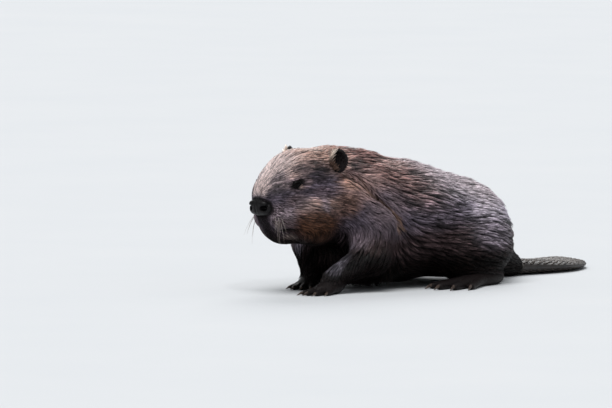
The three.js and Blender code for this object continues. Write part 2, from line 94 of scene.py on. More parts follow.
# ---- Small helpers ----
def smoothstep(value, low, high):
    t = np.clip((value - low) / (high - low), 0, 1)
    return t * t * (3 - 2 * t)


def unit(vectors):
    return vectors / np.maximum(np.linalg.norm(vectors, axis=-1, keepdims=True), 1e-9)


def linear(red, green, blue):
    """A colour written in the screen's 0 to 255, as the linear light that shaders take."""
    c = np.array([red, green, blue]) / 255
    return np.where(c <= 0.04045, c / 12.92, ((c + 0.055) / 1.055) ** 2.4)


# ---- Distance fields: functions of x, y, z, negative inside ----
def ellipsoid(centre, radii, pitch=0.0):
    """An ellipsoid, pitched about the x axis so that its front end dips by `pitch` degrees."""
    (cx, cy, cz), (rx, ry, rz) = centre, radii
    cos, sin = math.cos(math.radians(pitch)), math.sin(math.radians(pitch))

    def distance(x, y, z):
        dx = x - cx
        dy = (y - cy) * cos + (z - cz) * sin
        dz = (z - cz) * cos - (y - cy) * sin
        scaled = np.sqrt((dx / rx) ** 2 + ((dy / ry) ** 2 + (dz / rz) ** 2))
        slope = np.sqrt((dx / rx**2) ** 2 + ((dy / ry**2) ** 2 + (dz / rz**2) ** 2))
        return (scaled + 1e-6) * (scaled - 1) / (slope + 1e-8)

    return distance


def segment(a, b, radius_a, radius_b):
    """A limb segment with round ends."""
    (ax, ay, az), (ux, uy, uz) = a, np.subtract(b, a)
    length_squared = float(ux * ux + uy * uy + uz * uz)

    def distance(x, y, z):
        t = np.clip(((x - ax) * ux + (y - ay) * uy + (z - az) * uz) / length_squared, 0, 1)
        away = np.sqrt((x - ax - t * ux) ** 2 + (y - ay - t * uy) ** 2 + (z - az - t * uz) ** 2)
        return away - (radius_a + (radius_b - radius_a) * t)

    return distance


def nearest(fields):
    """The least of several fields."""

    def distance(x, y, z):
        result = fields[0](x, y, z)
        for field in fields[1:]:
            result = np.minimum(result, field(x, y, z))
        return result

    return distance


def chain(points, radius):
    """Segments of one radius from point to point."""
    return nearest([segment(a, b, radius, radius) for a, b in zip(points, points[1:])])


def smooth_min(a, b, blend):
    h = np.maximum(0, blend - np.abs(a - b)) / blend
    return np.minimum(a, b) - h * h * blend / 4


def melted(forms):
    """Forms melted into one, each as (form, width of the fillet by which it joins those before it)."""

    def distance(x, y, z):
        result = forms[0][0](x, y, z)
        for form, blend in forms[1:]:
            result = smooth_min(result, form(x, y, z), blend)
        return result

    return distance


def near(low, high, field):
    """`field` inside a box, and far away outside it."""

    def distance(x, y, z):
        x, y, z = np.broadcast_arrays(x, y, z)
        result = np.full(x.shape, 1e3, np.float32)
        held = (x > low[0]) & (x < high[0]) & (y > low[1]) & (y < high[1]) & (z > low[2]) & (z < high[2])
        result[held] = field(x[held], y[held], z[held])
        return result

    return distance


def both_sides(make, blend):
    """The forms that `make` gives for the sign of x of each side, with the fillet they have in common."""
    return [(make(s), blend) for s in SIDES.values()]


def folded(points):
    """The points, with those of the right side mirrored to the left."""
    return points * np.where(points[:, :1] < 0, [-1, 1, 1], 1)


def spot_distance(points, middle, radii):
    """How far out each point is of an ellipsoid and its mirror image: 1 on their surface."""
    return np.linalg.norm((folded(points) - middle) / np.array(radii), axis=1)


def value_and_slope(field, points, step=0.3):
    """The field at each point, and its slope by differences of `step` mm."""
    x, y, z = points.T
    value = field(x, y, z)
    slope = np.stack([field(x + step, y, z) - field(x - step, y, z),
                      field(x, y + step, z) - field(x, y - step, z),
                      field(x, y, z + step) - field(x, y, z - step)], axis=1) / (2 * step)
    return value, slope


def at_height(field, points, height, rounds=2, reach=6.0):
    """Moves points along the field's slope until it reads `height` there. Also returns the slope's way."""
    for _ in range(rounds):
        value, slope = value_and_slope(field, points)
        step = (height - value) / np.maximum((slope**2).sum(axis=1), 0.2)
        points = points + slope * np.clip(step, -reach, reach)[:, None]
    return points, unit(slope)


# ---- The coat's outline, as in the solids ----
CHEEK_OUT = HEAD_HALF_WIDTH - 31
SHOULDER_OUT = SHOULDER_HALF_WIDTH - 34
THIGH_OUT = HIP_HALF_WIDTH - 43
HEAD_FORMS = [
    (ellipsoid((0, 47, NOSE_HEIGHT + 13), (35, 42, 39), 16), 0),  # bridge of the muzzle
    (ellipsoid((0, 45, NOSE_HEIGHT - 8), (29, 34, 34), -6), 10),  # front of the muzzle
    *both_sides(lambda s: ellipsoid((s * 17, 48, NOSE_HEIGHT - 21), (18, 28, 20)), 8),  # whisker pads
    (ellipsoid((0, 92, CROWN_HEIGHT - 48), (53, 58, 48), 4), 14),  # skull
    (ellipsoid((0, 64, NOSE_HEIGHT - 40), (26, 36, 22)), 10),  # lower jaw and chin
    *both_sides(lambda s: ellipsoid((s * CHEEK_OUT, 92, NOSE_HEIGHT - 22), (32, 48, 42)), 16),
    *both_sides(lambda s: ellipsoid((s * 27, 60, NOSE_HEIGHT + 39), (13, 22, 11), 18), 12),  # brows
    *both_sides(lambda s: ellipsoid((s * 38, 124, CROWN_HEIGHT - 40), (16, 20, 18)), 12),  # ear roots
]
NECK_FORMS = [
    (ellipsoid((0, HEAD_LENGTH, NAPE_HEIGHT - 69), (67, 66, 69)), 18),
    (ellipsoid((0, 122, NOSE_HEIGHT - 24), (47, 46, 42)), 16),  # throat
]
TRUNK_FORMS = [
    (ellipsoid((0, 210, 126), (76, 84, 86)), 26),  # chest
    *both_sides(lambda s: ellipsoid((s * SHOULDER_OUT, 200, 116), (34, 46, 60)), 20),
    (ellipsoid((0, 294, 101), (BARREL_HALF_WIDTH, 108, 92)), 26),
    (ellipsoid((0, 270, 58), (80, 80, 47)), 24),  # belly, low behind the forelegs
    (ellipsoid((0, 218, 46), (70, 52, 36)), 20),  # brisket between the elbows
    (ellipsoid((0, BODY_LENGTH - 106, RUMP_HEIGHT - 80), (111, 106, 80), -7), 32),  # rump
    *both_sides(lambda s: ellipsoid((s * THIGH_OUT, 380, 58), (43, 78, 56)), 22),
    (segment(TAIL_ROOT, TAIL_NECK, 42, 20), 30),
    *both_sides(lambda s: segment((s * 14, 500, 30), (s * 13 - 4, 546, 14), 24, 13), 14),
]
LEG_FORMS = [
    form
    for leg in FORELEGS.values()
    for form in ((segment(leg["shoulder"], leg["elbow"], 34, 28), 18),
                 (segment(leg["elbow"], leg["wrist"], 26, 15), 12))
]
head_coat = near((-90, -15, 40), (90, 260, 240), melted(HEAD_FORMS + NECK_FORMS))
body_coat = melted(NECK_FORMS + TRUNK_FORMS + LEG_FORMS)
coat_field = nearest([head_coat, body_coat])


# ---- The skin under the coat ----
COAT_DEPTHS = {0: 0.7, 30: 1.4, 95: 3.0, 160: 5.0, 230: 6.5, 500: 6.5, 560: 2.5}  # by mm from the nose
LOW_COAT = {12: 0.35, 80: 1}  # share of that depth, by mm from the floor


def graph(value, heights):
    """Reads a graph with straight lines between the points of `heights`, which is {value: height}."""
    return np.interp(value, list(heights), list(heights.values()))


def coat_depth(x, y, z):
    """How deep the coat lies over the skin."""
    return graph(y, COAT_DEPTHS) * graph(z, LOW_COAT)


def creases(points, radius):
    """A crease through `points` on the left, and its mirror image."""
    return melted(both_sides(lambda s: chain([(s * x, y, z) for x, y, z in points], radius), 1))


# The crease behind the shoulder, from nape to elbow, and the mouth, from under the nose to a corner.
FOLD = [(50, 138, 178), (68, 172, 148), (84, 212, 106), (97, 232, 74), (100, 238, 50)]
MOUTH = [(0, 7, NOSE_HEIGHT - 20), (0, 13, NOSE_HEIGHT - 33), (13, 20, NOSE_HEIGHT - 38),
         (23, 35, NOSE_HEIGHT - 37), (36, 48, NOSE_HEIGHT - 35)]
EYES = {side: np.array([s * EYE_OUT, EYE_BACK, EYE_UP]) for side, s in SIDES.items()}
fold_line = near((-130, 110, 20), (130, 270, 210), creases(FOLD, 3.5))
mouth_line = near((-50, -10, 70), (50, 80, 140), creases(MOUTH, 1.2))
eye_pits = near((-60, 25, 140), (60, 75, 190),
                melted([(ellipsoid(c, (EYE_RADIUS + 0.6,) * 3), 1) for c in EYES.values()]))
nostrils = near((-30, -14, 115), (30, 26, 148), melted([
    *both_sides(lambda s: ellipsoid((s * 13, 3.5, NOSE_HEIGHT - 5), (5.2, 9, 4.2)), 1),
    *both_sides(
        lambda s: segment((s * 14, 5, NOSE_HEIGHT - 4), (s * 20, 11, NOSE_HEIGHT + 2), 2.8, 1.1), 2),
]))

# The joints of a toe, as shares of its length, and their height and radius as shares of its root's radius.
TOE_JOINTS = [(0.3, 1.15, 0.92), (0.7, 0.8, 0.84), (1, 0.7, 0.8)]
TOE_ROOT = 8  # mm that a toe reaches back into the foot


class Foot:
    """A foot's own frame: mm ahead of its origin, mm to its outer side, and mm up from the floor."""

    def __init__(self, origin, side, turn, toes):
        angle = math.radians(turn) * side
        self.origin = np.array(origin, float)
        self.forward = np.array([math.sin(angle), -math.cos(angle)])
        self.outward = np.array([math.cos(angle), math.sin(angle)]) * side
        self.toes = toes

    def place(self, ahead, out, up):
        x, y = self.origin + self.forward * ahead + self.outward * out
        return (x, y, up)

    def field(self, forms, ahead, reach):
        """Melted forms of this frame, as a field of the animal's, within `reach` of a point `ahead`."""
        form = melted(forms)

        def distance(x, y, z):
            dx, dy = x - self.origin[0], y - self.origin[1]
            return form(dx * self.forward[0] + dy * self.forward[1],
                        dx * self.outward[0] + dy * self.outward[1], z)

        middle = np.array(self.place(ahead, 0, 0))
        return near(middle - reach, middle + reach, distance)

    def toe_forms(self, root_up, blend):
        """Each toe as three segments, the first of them rooted in the foot at the height `root_up`."""
        forms = []
        for ahead, out, spread, length, radius in self.toes:
            joints = [((ahead - TOE_ROOT, out - TOE_ROOT * spread, root_up), radius)]
            joints += [((ahead + length * share, out + spread * length * share, radius * up), radius * wide)
                       for share, up, wide in TOE_JOINTS]
            forms += [(segment(a, b, radius_a, radius_b), blend if n == 0 else 1.5)
                      for n, ((a, radius_a), (b, radius_b)) in enumerate(zip(joints, joints[1:]))]
        return forms


FORE_FEET = {side: Foot(FORELEGS[side]["wrist"][:2], s, FORELEGS[side]["turn"], FORE_TOES)
             for side, s in SIDES.items()}
HIND_FEET = {side: Foot((s * HEEL[0], HEEL[1]), s, HINDFOOT_TURN, HIND_TOES) for side, s in SIDES.items()}

WEB_START, WEB_END = 40, 0.86  # mm ahead of the heel, and the share of the toes' length
WEB_UP, WEB_HALF_THICKNESS, WEB_HOLLOW = 3.2, 1.5, 14


def web_field(toes):
    """A thin sheet that fills the fan between toes, with a hollow edge between each two of them."""

    def distance(ahead, out, up):
        sheet = np.full(np.shape(ahead), 1e3)
        for (a0, o0, s0, l0, _), (a1, o1, s1, l1, _) in zip(toes, toes[1:]):
            inner_toe, outer_toe = o0 + s0 * (ahead - a0), o1 + s1 * (ahead - a1)
            beside = np.maximum(inner_toe - out, out - outer_toe)
            share = np.clip((out - inner_toe) / np.maximum(outer_toe - inner_toe, 1), 0, 1)
            end = (a0 + l0 * WEB_END) * (1 - share) + (a1 + l1 * WEB_END) * share
            hollow = WEB_HOLLOW * 4 * share * (1 - share)
            sheet = np.minimum(sheet, np.maximum(beside, ahead - (end - hollow)))
        return np.maximum(np.maximum(sheet, WEB_START - ahead), np.abs(up - WEB_UP) - WEB_HALF_THICKNESS)

    return distance


def foot_fields():
    """The four feet, each to be cut off well outside its toes."""
    palm = [(ellipsoid((9, 0, 9), (25, 15.5, 9.5)), 0), (segment((-6, 0, 14), (12, 0, 10), 13, 10), 6)]
    sole = [(ellipsoid((42, 0, 9), (52, 21, 10.5)), 0), (segment((0, 0, 12), (60, 0, 9), 12, 10), 8)]
    fore = [foot.field(palm + foot.toe_forms(8, 4), 20, 62) for foot in FORE_FEET.values()]
    hind = [foot.field(sole + foot.toe_forms(9, 5) + [(web_field(foot.toes), 3)], 75, 100)
            for foot in HIND_FEET.values()]
    return fore + hind


feet_field = nearest(foot_fields())


FOLD_FILLET, MOUTH_FILLET, FOOT_FILLET = 14, 3, 7  # widths of the fillets where these meet the skin
NOSTRIL_GAP = 1.2  # from the nose pad's nostrils to the skin


def bare_body(x, y, z):
    """The skin of head, trunk and legs, with its creases but without pits for the eyes."""
    skin = coat_field(x, y, z) + coat_depth(x, y, z)
    skin = -smooth_min(-skin, fold_line(x, y, z), FOLD_FILLET)
    return -smooth_min(-skin, mouth_line(x, y, z), MOUTH_FILLET)


def skin_field(x, y, z):
    """The whole skin down to the floor, with its feet and with pits for the eyes and nostrils."""
    skin = smooth_min(bare_body(x, y, z), feet_field(x, y, z), FOOT_FILLET)
    skin = np.maximum(skin, -eye_pits(x, y, z))
    skin = np.maximum(skin, NOSTRIL_GAP - nostrils(x, y, z))
    return np.maximum(skin, -z)


EYE_SLANT = math.radians(20)  # by which the eye's outer corner stands over its inner one


def eye_axes(side):
    """The directions along the eye's slit, towards its upper lid, and out of the head."""
    _, slope = value_and_slope(bare_body, EYES[side][None, :], 3.0)
    out = unit(slope)[0]
    back = np.array([0, math.cos(EYE_SLANT), math.sin(EYE_SLANT)])
    slit = unit(back - out * (back @ out))
    lid = np.cross(out, slit)
    return slit, lid if lid[2] > 0 else -lid, out


EYE_AXES = {side: eye_axes(side) for side in SIDES}


# ---- Meshing ----
def net(field, axes, rounds=2):
    """A closed skin of quads where `field` is zero, on a grid whose lines cross the axes at `axes`. Each
    grid cell that the surface crosses holds one vertex."""
    lines = [np.asarray(a, np.float32) for a in axes]
    values = np.array(field(*np.ix_(*lines)), np.float32)
    rim = np.ones(values.shape, bool)
    rim[1:-1, 1:-1, 1:-1] = False
    values[rim] = np.maximum(values[rim], 0.1)
    inside = values < 0
    corners = [(a, b, c) for a in (0, 1) for b in (0, 1) for c in (0, 1)]
    cells = tuple(n - 1 for n in values.shape)
    held = sum(inside[a:a + cells[0], b:b + cells[1], c:c + cells[2]].astype(int) for a, b, c in corners)
    cell = np.stack(np.nonzero((held > 0) & (held < 8)), axis=1)
    total, crossings = np.zeros((len(cell), 3)), np.zeros(len(cell))
    for a in corners:
        for axis in (n for n in range(3) if a[n] == 0):
            b = tuple(1 if n == axis else a[n] for n in range(3))
            va, vb = (values[tuple((cell + end).T)] for end in (a, b))
            crossed = (va < 0) != (vb < 0)
            share = np.where(crossed, va / np.where(va == vb, 1, va - vb), 0)
            place = np.stack([lines[n][cell[:, n] + a[n]] for n in range(3)], axis=1).astype(float)
            place[:, axis] += share * (lines[axis][cell[:, axis] + 1] - lines[axis][cell[:, axis]])
            total += place * crossed[:, None]
            crossings += crossed
    points = total / crossings[:, None]
    number = np.full(cells, -1)
    number[tuple(cell.T)] = np.arange(len(cell))
    quads = []
    for axis in range(3):
        u, v = np.eye(3, dtype=int)[(axis + 1) % 3], np.eye(3, dtype=int)[(axis + 2) % 3]
        ahead = np.moveaxis(inside, axis, 0)
        changed = np.nonzero(np.moveaxis(ahead[:-1] != ahead[1:], 0, axis))
        node = np.stack(changed, axis=1)
        quad = np.stack([number[tuple((node - back).T)] for back in (0 * u, u, u + v, v)], axis=1)
        outwards = inside[changed]
        quads.append(np.where(outwards[:, None], quad, quad[:, ::-1]))
    if rounds:
        reach = min(float(np.diff(line).min()) for line in lines) / 2
        points, _ = at_height(field, points, 0, rounds, reach)
    return points, np.concatenate(quads)


def spaced(*stretches):
    """Grid lines as (start, end, pitch) stretches that follow on from each other."""
    lines = [np.arange(start, end, pitch) for start, end, pitch in stretches]
    return np.concatenate([*lines, [stretches[-1][1]]])


def around(centre, reach, pitch):
    return [np.arange(c - r, c + r + pitch, pitch) for c, r in zip(centre, reach)]


def add_piece(name, points, faces, material, slot, tint=None, bare=None):
    """A mesh object from points in the animal's frame and faces of equally many sides, riding on the body.
    `tint` is a colour for each point, with or without alpha, and `bare` a number."""
    mesh = bpy.data.meshes.new(name)
    mesh.vertices.add(len(points))
    mesh.vertices.foreach_set("co", in_row_frame(points).ravel())
    mesh.loops.add(faces.size)
    mesh.loops.foreach_set("vertex_index", faces.ravel())
    mesh.polygons.add(len(faces))
    mesh.polygons.foreach_set("loop_start", np.arange(0, faces.size, faces.shape[1]))
    mesh.update(calc_edges=True)
    mesh.shade_smooth()
    if tint is not None:
        rgba = tint if tint.shape[1] == 4 else np.c_[tint, np.ones(len(tint))]
        mesh.attributes.new("tint", "FLOAT_COLOR", "POINT").data.foreach_set("color", rgba.ravel())
    if bare is not None:
        mesh.attributes.new("bare", "FLOAT", "POINT").data.foreach_set("value", bare)
    mesh.materials.append(material)
    piece = bpy.data.objects.new(name, mesh)
    bpy.context.scene.collection.objects.link(piece)
    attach(piece, "root")
    return piece


def facing_out(points, faces):
    """The faces of a closed surface, turned so that its volume comes out positive."""
    first = points[faces[:, 0]]
    pairs = zip(faces.T[1:], faces.T[2:])
    volume = sum((first * np.cross(points[b], points[c])).sum() for b, c in pairs)
    return faces if volume > 0 else faces[:, ::-1]


def lofted(rings, start, end):
    """A closed surface of triangles: from the point `start`, over rings of points, to the point `end`."""
    rows, sides = rings.shape[:2]
    a, pole = np.arange(sides), np.full(sides, rows * sides)
    b, last = np.roll(a, -1), (rows - 1) * sides
    faces = [np.stack([pole, b, a], 1), np.stack([pole + 1, last + a, last + b], 1)]
    for row in range(0, last, sides):
        faces += [row + np.stack([a, b, b + sides], 1), row + np.stack([a, b + sides, a + sides], 1)]
    points = np.concatenate([rings.reshape(-1, 3), [start], [end]])
    return points, facing_out(points, np.concatenate(faces))


def joined(meshes):
    """Several (points, faces) as one."""
    starts = np.cumsum([0] + [len(points) for points, _ in meshes[:-1]])
    return (np.concatenate([points for points, _ in meshes]),
            np.concatenate([faces + start for (_, faces), start in zip(meshes, starts)]))


# ---- Nose pad ----
nose_pad = near((-30, -12, 105), (30, 32, 155), melted([
    (ellipsoid((0, 9, NOSE_HEIGHT - 3), (14, 9, 13)), 0),
    *both_sides(lambda s: ellipsoid((s * 11, 12, NOSE_HEIGHT - 5), (9, 9, 10)), 5),  # wings
    *both_sides(lambda s: ellipsoid((s * 9.5, 7.5, NOSE_HEIGHT + 1.5), (8, 6.5, 5)), 3),
]))

# ---- Markings with painted sheen and shade, the same on skin and coat ----
# Grey-brown; its violet tint is painted sky sheen on wet hair.
FLANK = linear(85, 77, 87)
# Painted shade of the lower flank.
SHADED_LOW_FLANK = linear(56, 45, 46)
# Dark colour of the underside, with painted shade.
SHADED_BELLY = linear(14, 9, 8)
# Painted sheen of the sky on the wet hair of the back.
BACK_SHEEN = linear(207, 195, 200)
# Reddish brown of the nape, paled by painted sheen.
NAPE_SHEEN = linear(124, 94, 88)
# Pale bluish grey of painted sheen, on the rump and along the arm.
RUMP_SHEEN = linear(190, 182, 197)
# Reddish brown of the crown, paled by painted sheen.
CROWN_SHEEN = linear(200, 166, 153)
# Painted sheen on the top of the snout.
SNOUT_SHEEN = linear(194, 176, 173)
SHADE = linear(44, 39, 46)  # painted shade of the bridge beside the nose, and of the streak behind the eye
EYE_RING = linear(86, 73, 74)  # paler hair round the dark lids
# Near black of bare skin and dark hair; also painted shade in the crease, chin and mouth.
NEAR_BLACK = linear(13, 9, 9)
# Near black of the forelegs, with painted shade.
SHADED_LEG = linear(13, 8, 8)
FOOT = linear(26, 21, 21)
RIDGE = linear(122, 96, 78)  # along the crease behind the shoulder
EAR_FUR, EAR_EDGE, EAR_TUFT = linear(26, 20, 21), linear(88, 68, 58), linear(236, 218, 204)
TAIL_HIDE = linear(26, 22, 21), linear(44, 38, 35)
TAIL_SCALE = linear(44, 39, 37), linear(86, 77, 71)
# Soft spots as (middle of the left one, radii, colour, strength), painted in this order on both sides.
SPOTS = [
    ((66, 144, 166), (44, 44, 34), linear(143, 117, 112), 0.85),  # side of the neck
    ((84, 184, 126), (44, 36, 30), linear(98, 85, 90), 0.85),  # shoulder
    ((66, 150, 84), (30, 20, 20), linear(124, 110, 118), 0.8),  # upper arm, paled by painted sheen
    ((44, 112, 78), (50, 46, 20), linear(18, 10, 7), 0.95),  # throat under the jaw: painted shade
    ((59, 118, 134), (32, 30, 22), linear(102, 77, 66), 0.8),  # back of the cheek
    ((50, 82, 152), (22, 24, 11), linear(90, 76, 82), 0.7),  # top of the cheek
    ((40, 70, 191), (18, 38, 14), linear(63, 53, 57), 0.8),  # side of the forehead
    ((47, 73, 175), (11, 28, 13), linear(39, 32, 36), 0.85),  # temple: painted shade
    ((33, 50, 183), (14, 18, 12), linear(44, 37, 41), 0.85),  # brow: painted shade
    ((20, 24, 170), (16, 24, 18), linear(54, 47, 54), 0.85),  # side of the bridge
    ((54, 147, 191), (15, 18, 15), linear(38, 30, 33), 0.85),  # behind the ear: painted shade
    ((61, 128, 165), (13, 22, 11), linear(188, 150, 134), 0.8),  # under the ear
    ((57, 115, 176), (9, 12, 8), linear(94, 66, 54), 0.8),  # root of the ear
    ((4, 98, 216), (24, 40, 9), linear(234, 210, 200), 0.8),  # top of the crown: painted highlight
    ((44, 250, 191), (26, 52, 12), linear(222, 196, 190), 0.45),  # withers: painted sheen
    ((80, 318, 160), (22, 34, 13), linear(98, 86, 92), 0.5),  # side of the back
    ((104, 304, 136), (14, 36, 14), linear(136, 124, 134), 0.5),  # hip
    ((122, 384, 84), (32, 56, 30), linear(132, 122, 132), 0.85),  # lower rump: painted sheen
    ((52, 70, 108), (40, 52, 27), linear(62, 40, 27), 0.95),  # lower cheek: golden brown, darkened by painted shade
    ((58, 83, 137), (20, 9, 13), linear(132, 118, 126), 0.75),  # painted highlight on the cheek
    ((37, 46, 140), (17, 22, 14), linear(98, 84, 86), 0.8),  # under the eye
    ((25, 25, 119), (17, 19, 19), linear(132, 118, 124), 0.9),  # whisker pad
    ((26, 33, 109), (15, 21, 8), linear(70, 59, 61), 0.85),  # upper lip
    ((24, 45, 89), (11, 12, 7), linear(150, 134, 128), 0.8),  # pale hairs of the lower lip
]
LINES = {
    "beside_nose": chain([(15, 12, 150), (23, 19, 155), (32, 30, 153)], 3),
    "behind_eye": chain([(46, 62, 175), (47, 72, 180), (49, 90, 187), (52, 106, 190)], 2),
    "tear_line": chain([(37, 43, 164), (33, 37, 161)], 1.5),
    "arm_sheen": chain([(54, 150, 80), (60, 136, 62), (61, 118, 48), (62, 106, 40)], 2),
}
# Bands as (colour, strength, *(measure, its value where the band fades out, its value where it is full)),
# painted in this order. measures() says what they are measured by. The broad ones lie under the spots.
BROAD_BANDS = [
    # Painted sheen: the rump pale bluish grey.
    (RUMP_SHEEN, 1, ("y", 310, 430), ("z", 70, 110)),
    # Painted shade: the flank darker towards the bottom.
    (SHADED_LOW_FLANK, 1, ("z", 116, 80)),
    # Painted sheen on the back where it faces up.
    (BACK_SHEEN, 1, ("up", 0.38, 0.9), ("y", 190, 330)),
    # The nape's reddish brown, paled by painted sheen where it faces up.
    (NAPE_SHEEN, 0.9, ("y", 100, 140), ("y", 330, 230), ("up", 0.05, 0.75)),
    # The crown's reddish brown, paled by painted sheen where it faces up.
    (CROWN_SHEEN, 1, ("y", 165, 110), ("up", 0.1, 0.7)),
    # Painted sheen on the snout where it faces up.
    (SNOUT_SHEEN, 1, ("y", 92, 44), ("up", 0.0, 0.55), ("out", 36, 14)),
]
FINE_BANDS = [
    # The dark underside, with painted shade low down and where the skin faces down.
    (SHADED_BELLY, 1, ("z", 74, 40), ("y", 60, 120)),
    (SHADED_BELLY, 1, ("up", -0.3, -0.8), ("z", 120, 80)),
    (NEAR_BLACK, 0.85, ("whisker_pad", 1, 0.7), ("dots", 0.1, 0.6)),
    (SHADE, 0.8, ("beside_nose", 8, 0)),
    # Painted sheen on the top of the nose bridge.
    (SNOUT_SHEEN, 0.85, ("out", 15, 7), ("y", 42, 20), ("z", 144, 152)),
    (SHADE, 0.75, ("behind_eye", 8, 0)),
    (RIDGE, 0.7, ("ridge", 2.2, 0.4), ("y", 145, 175)),
    # Painted shade in the crease behind the shoulder.
    (NEAR_BLACK, 0.5, ("crease", 0, -2.5)),
    # The dark chin, with painted shade.
    (NEAR_BLACK, 0.9, ("chin", 1.1, 0.7)),
    # Dark lips, with painted shade in the mouth's line.
    (NEAR_BLACK, 1, ("mouth", 2.6, 0.8)),
    (NEAR_BLACK, 0.9, ("out", 15, 7), ("y", 30, 18), ("z", 126, 118)),  # under the nose
    (NEAR_BLACK, 0.9, ("nose_pad", 3, 0.6)),
    (EYE_RING, 0.7, ("eye", 1.9, 1.4)),
    (NEAR_BLACK, 1, ("eye", 1.2, 0.95)),
    (NEAR_BLACK, 0.9, ("tear_line", 4, 0)),
    # Near-black forelegs, with painted shade.
    (SHADED_LEG, 1, ("z", 92, 60), ("y", 216, 190), ("out", 22, 34)),
    # Painted sheen along the arm's front edge.
    (RUMP_SHEEN, 0.2, ("arm_sheen", 12, 0)),
    (FOOT, 1, ("foot", 9, 3)),
]
PAD_DOTS = (9.5, 4.3)  # mm between the dark dots of the whisker pad, along and up
RIDGE_OUT = 2.5  # mm from the crease behind the shoulder to the ridge along it


def measures(points, up):
    """Where each point is in the animal's frame, how many mm it is from parts and lines, and how far out
    of the eye, the chin and the whisker pad, which is 1 on their edge."""
    out, y, z = folded(points).T
    crease = fold_line(*points.T)
    dots = np.cos(2 * math.pi * y / PAD_DOTS[0]) * np.cos(2 * math.pi * (z + 0.4 * y) / PAD_DOTS[1])
    eyes = [eye_distance(side, points - centre) for side, centre in EYES.items()]
    return {
        "out": out, "y": y, "z": z, "up": up, "crease": crease, "ridge": np.abs(crease - RIDGE_OUT),
        "mouth": mouth_line(*points.T), "nose_pad": nose_pad(*points.T), "foot": feet_field(*points.T),
        "eye": np.minimum(*eyes), "chin": spot_distance(points, (0, 18, NOSE_HEIGHT - 47), (20, 22, 17)),
        "whisker_pad": spot_distance(points, (24, 25, 127), (14, 13, 12)), "dots": dots,
        **{name: line(out, y, z) for name, line in LINES.items()},
    }


def colours_and_painted_light(points, up):
    """The coat's colour at each point, painted sheen and shade included. `up` is how far the surface there
    faces up, from -1 to 1.
    """
    measured = measures(points, up)
    colour = np.tile(FLANK, (len(points), 1))

    def paint(shade, weight):
        colour[:] = colour + (shade - colour) * weight[:, None]

    def paint_bands(bands):
        for shade, weight, *limits in bands:
            for name, fades_out, full in limits:
                weight = weight * smoothstep(measured[name], fades_out, full)
            paint(shade, weight)

    paint_bands(BROAD_BANDS)
    for middle, radii, shade, strength in SPOTS:
        paint(shade, strength * smoothstep(spot_distance(points, middle, radii), 1.25, 0.45))
    paint_bands(FINE_BANDS)
    return colour


EYE_PATCH = (11, 6.4, 12)  # half its size along the slit, up the lids and out of the head


def eye_distance(side, gap):
    """How far each `gap` from an eye's middle reaches over the almond patch round it: 1 on the edge."""
    slit, lid, _ = EYE_AXES[side]
    along, across = gap @ slit, gap @ lid
    off = np.sqrt(np.maximum((gap**2).sum(axis=1) - along**2 - across**2, 0))
    return np.sqrt((along / EYE_PATCH[0]) ** 2 + (across / EYE_PATCH[1]) ** 2 + (off / EYE_PATCH[2]) ** 2)


# ---- Materials ----
class Shader:
    """A Principled material, and short ways to add the nodes that drive it."""

    def __init__(self, name, roughness=0.5, **fixed):
        self.material = bpy.data.materials.new(name)
        self.material.use_nodes = True
        self.tree = self.material.node_tree
        self.shader = next(n for n in self.tree.nodes if n.type == "BSDF_PRINCIPLED")
        for key, value in {"Roughness": roughness, **fixed}.items():
            self.shader.inputs[key.replace("_", " ")].default_value = value

    def node(self, kind, inputs, **settings):
        made = self.tree.nodes.new(kind)
        for key, value in settings.items():
            setattr(made, key, value)
        for key, value in inputs.items():
            self.put(made, key, value)
        return made.outputs

    def put(self, node, key, value):
        """Sets an input to a number or colour, or links it from another node's output."""
        socket = node.inputs[key]
        if isinstance(value, bpy.types.NodeSocket):
            self.tree.links.new(value, socket)
        elif isinstance(value, np.ndarray):
            socket.default_value = (*value, 1)
        else:
            socket.default_value = value

    def drive(self, key, value):
        self.put(self.shader, key, value)

    def attribute(self, name, output="Color"):
        return self.node("ShaderNodeAttribute", {}, attribute_name=name)[output]

    def place(self, scale):
        """The point on the object, scaled by axis."""
        where = self.node("ShaderNodeTexCoord", {})["Object"]
        return self.node("ShaderNodeVectorMath", {0: where, 1: scale}, operation="MULTIPLY")[0]

    def noise(self, scale, detail=2.0):
        inputs = {"Vector": self.place(scale), "Scale": 1.0, "Detail": detail, "Roughness": 0.55}
        return self.node("ShaderNodeTexNoise", inputs)["Fac"]

    def cells(self, scale):
        return self.node("ShaderNodeTexVoronoi", {"Vector": self.place(scale), "Scale": 1.0})["Distance"]

    def span(self, value, low, high, out_low, out_high):
        """Maps a value from one range to another, and holds it there."""
        ranges = {"From Min": low, "From Max": high, "To Min": out_low, "To Max": out_high}
        return self.node("ShaderNodeMapRange", {"Value": value, **ranges})["Result"]

    def math(self, operation, a, b):
        return self.node("ShaderNodeMath", {0: a, 1: b}, operation=operation)[0]

    def blend(self, a, b, share):
        """`share` of the number b, and the rest of a."""
        return self.math("ADD", a, self.math("MULTIPLY", share, self.math("SUBTRACT", b, a)))

    def mix(self, share, a, b):
        """`share` of the colour b, and the rest of a."""
        return self.node("ShaderNodeMix", {0: share, 6: a, 7: b}, data_type="RGBA")[2]

    def shaded(self, colour, brightness):
        return self.node("ShaderNodeVectorMath", {0: colour, "Scale": brightness}, operation="SCALE")[0]

    def bump(self, height, distance):
        self.drive("Normal", self.node("ShaderNodeBump", {"Height": height, "Distance": distance})[0])


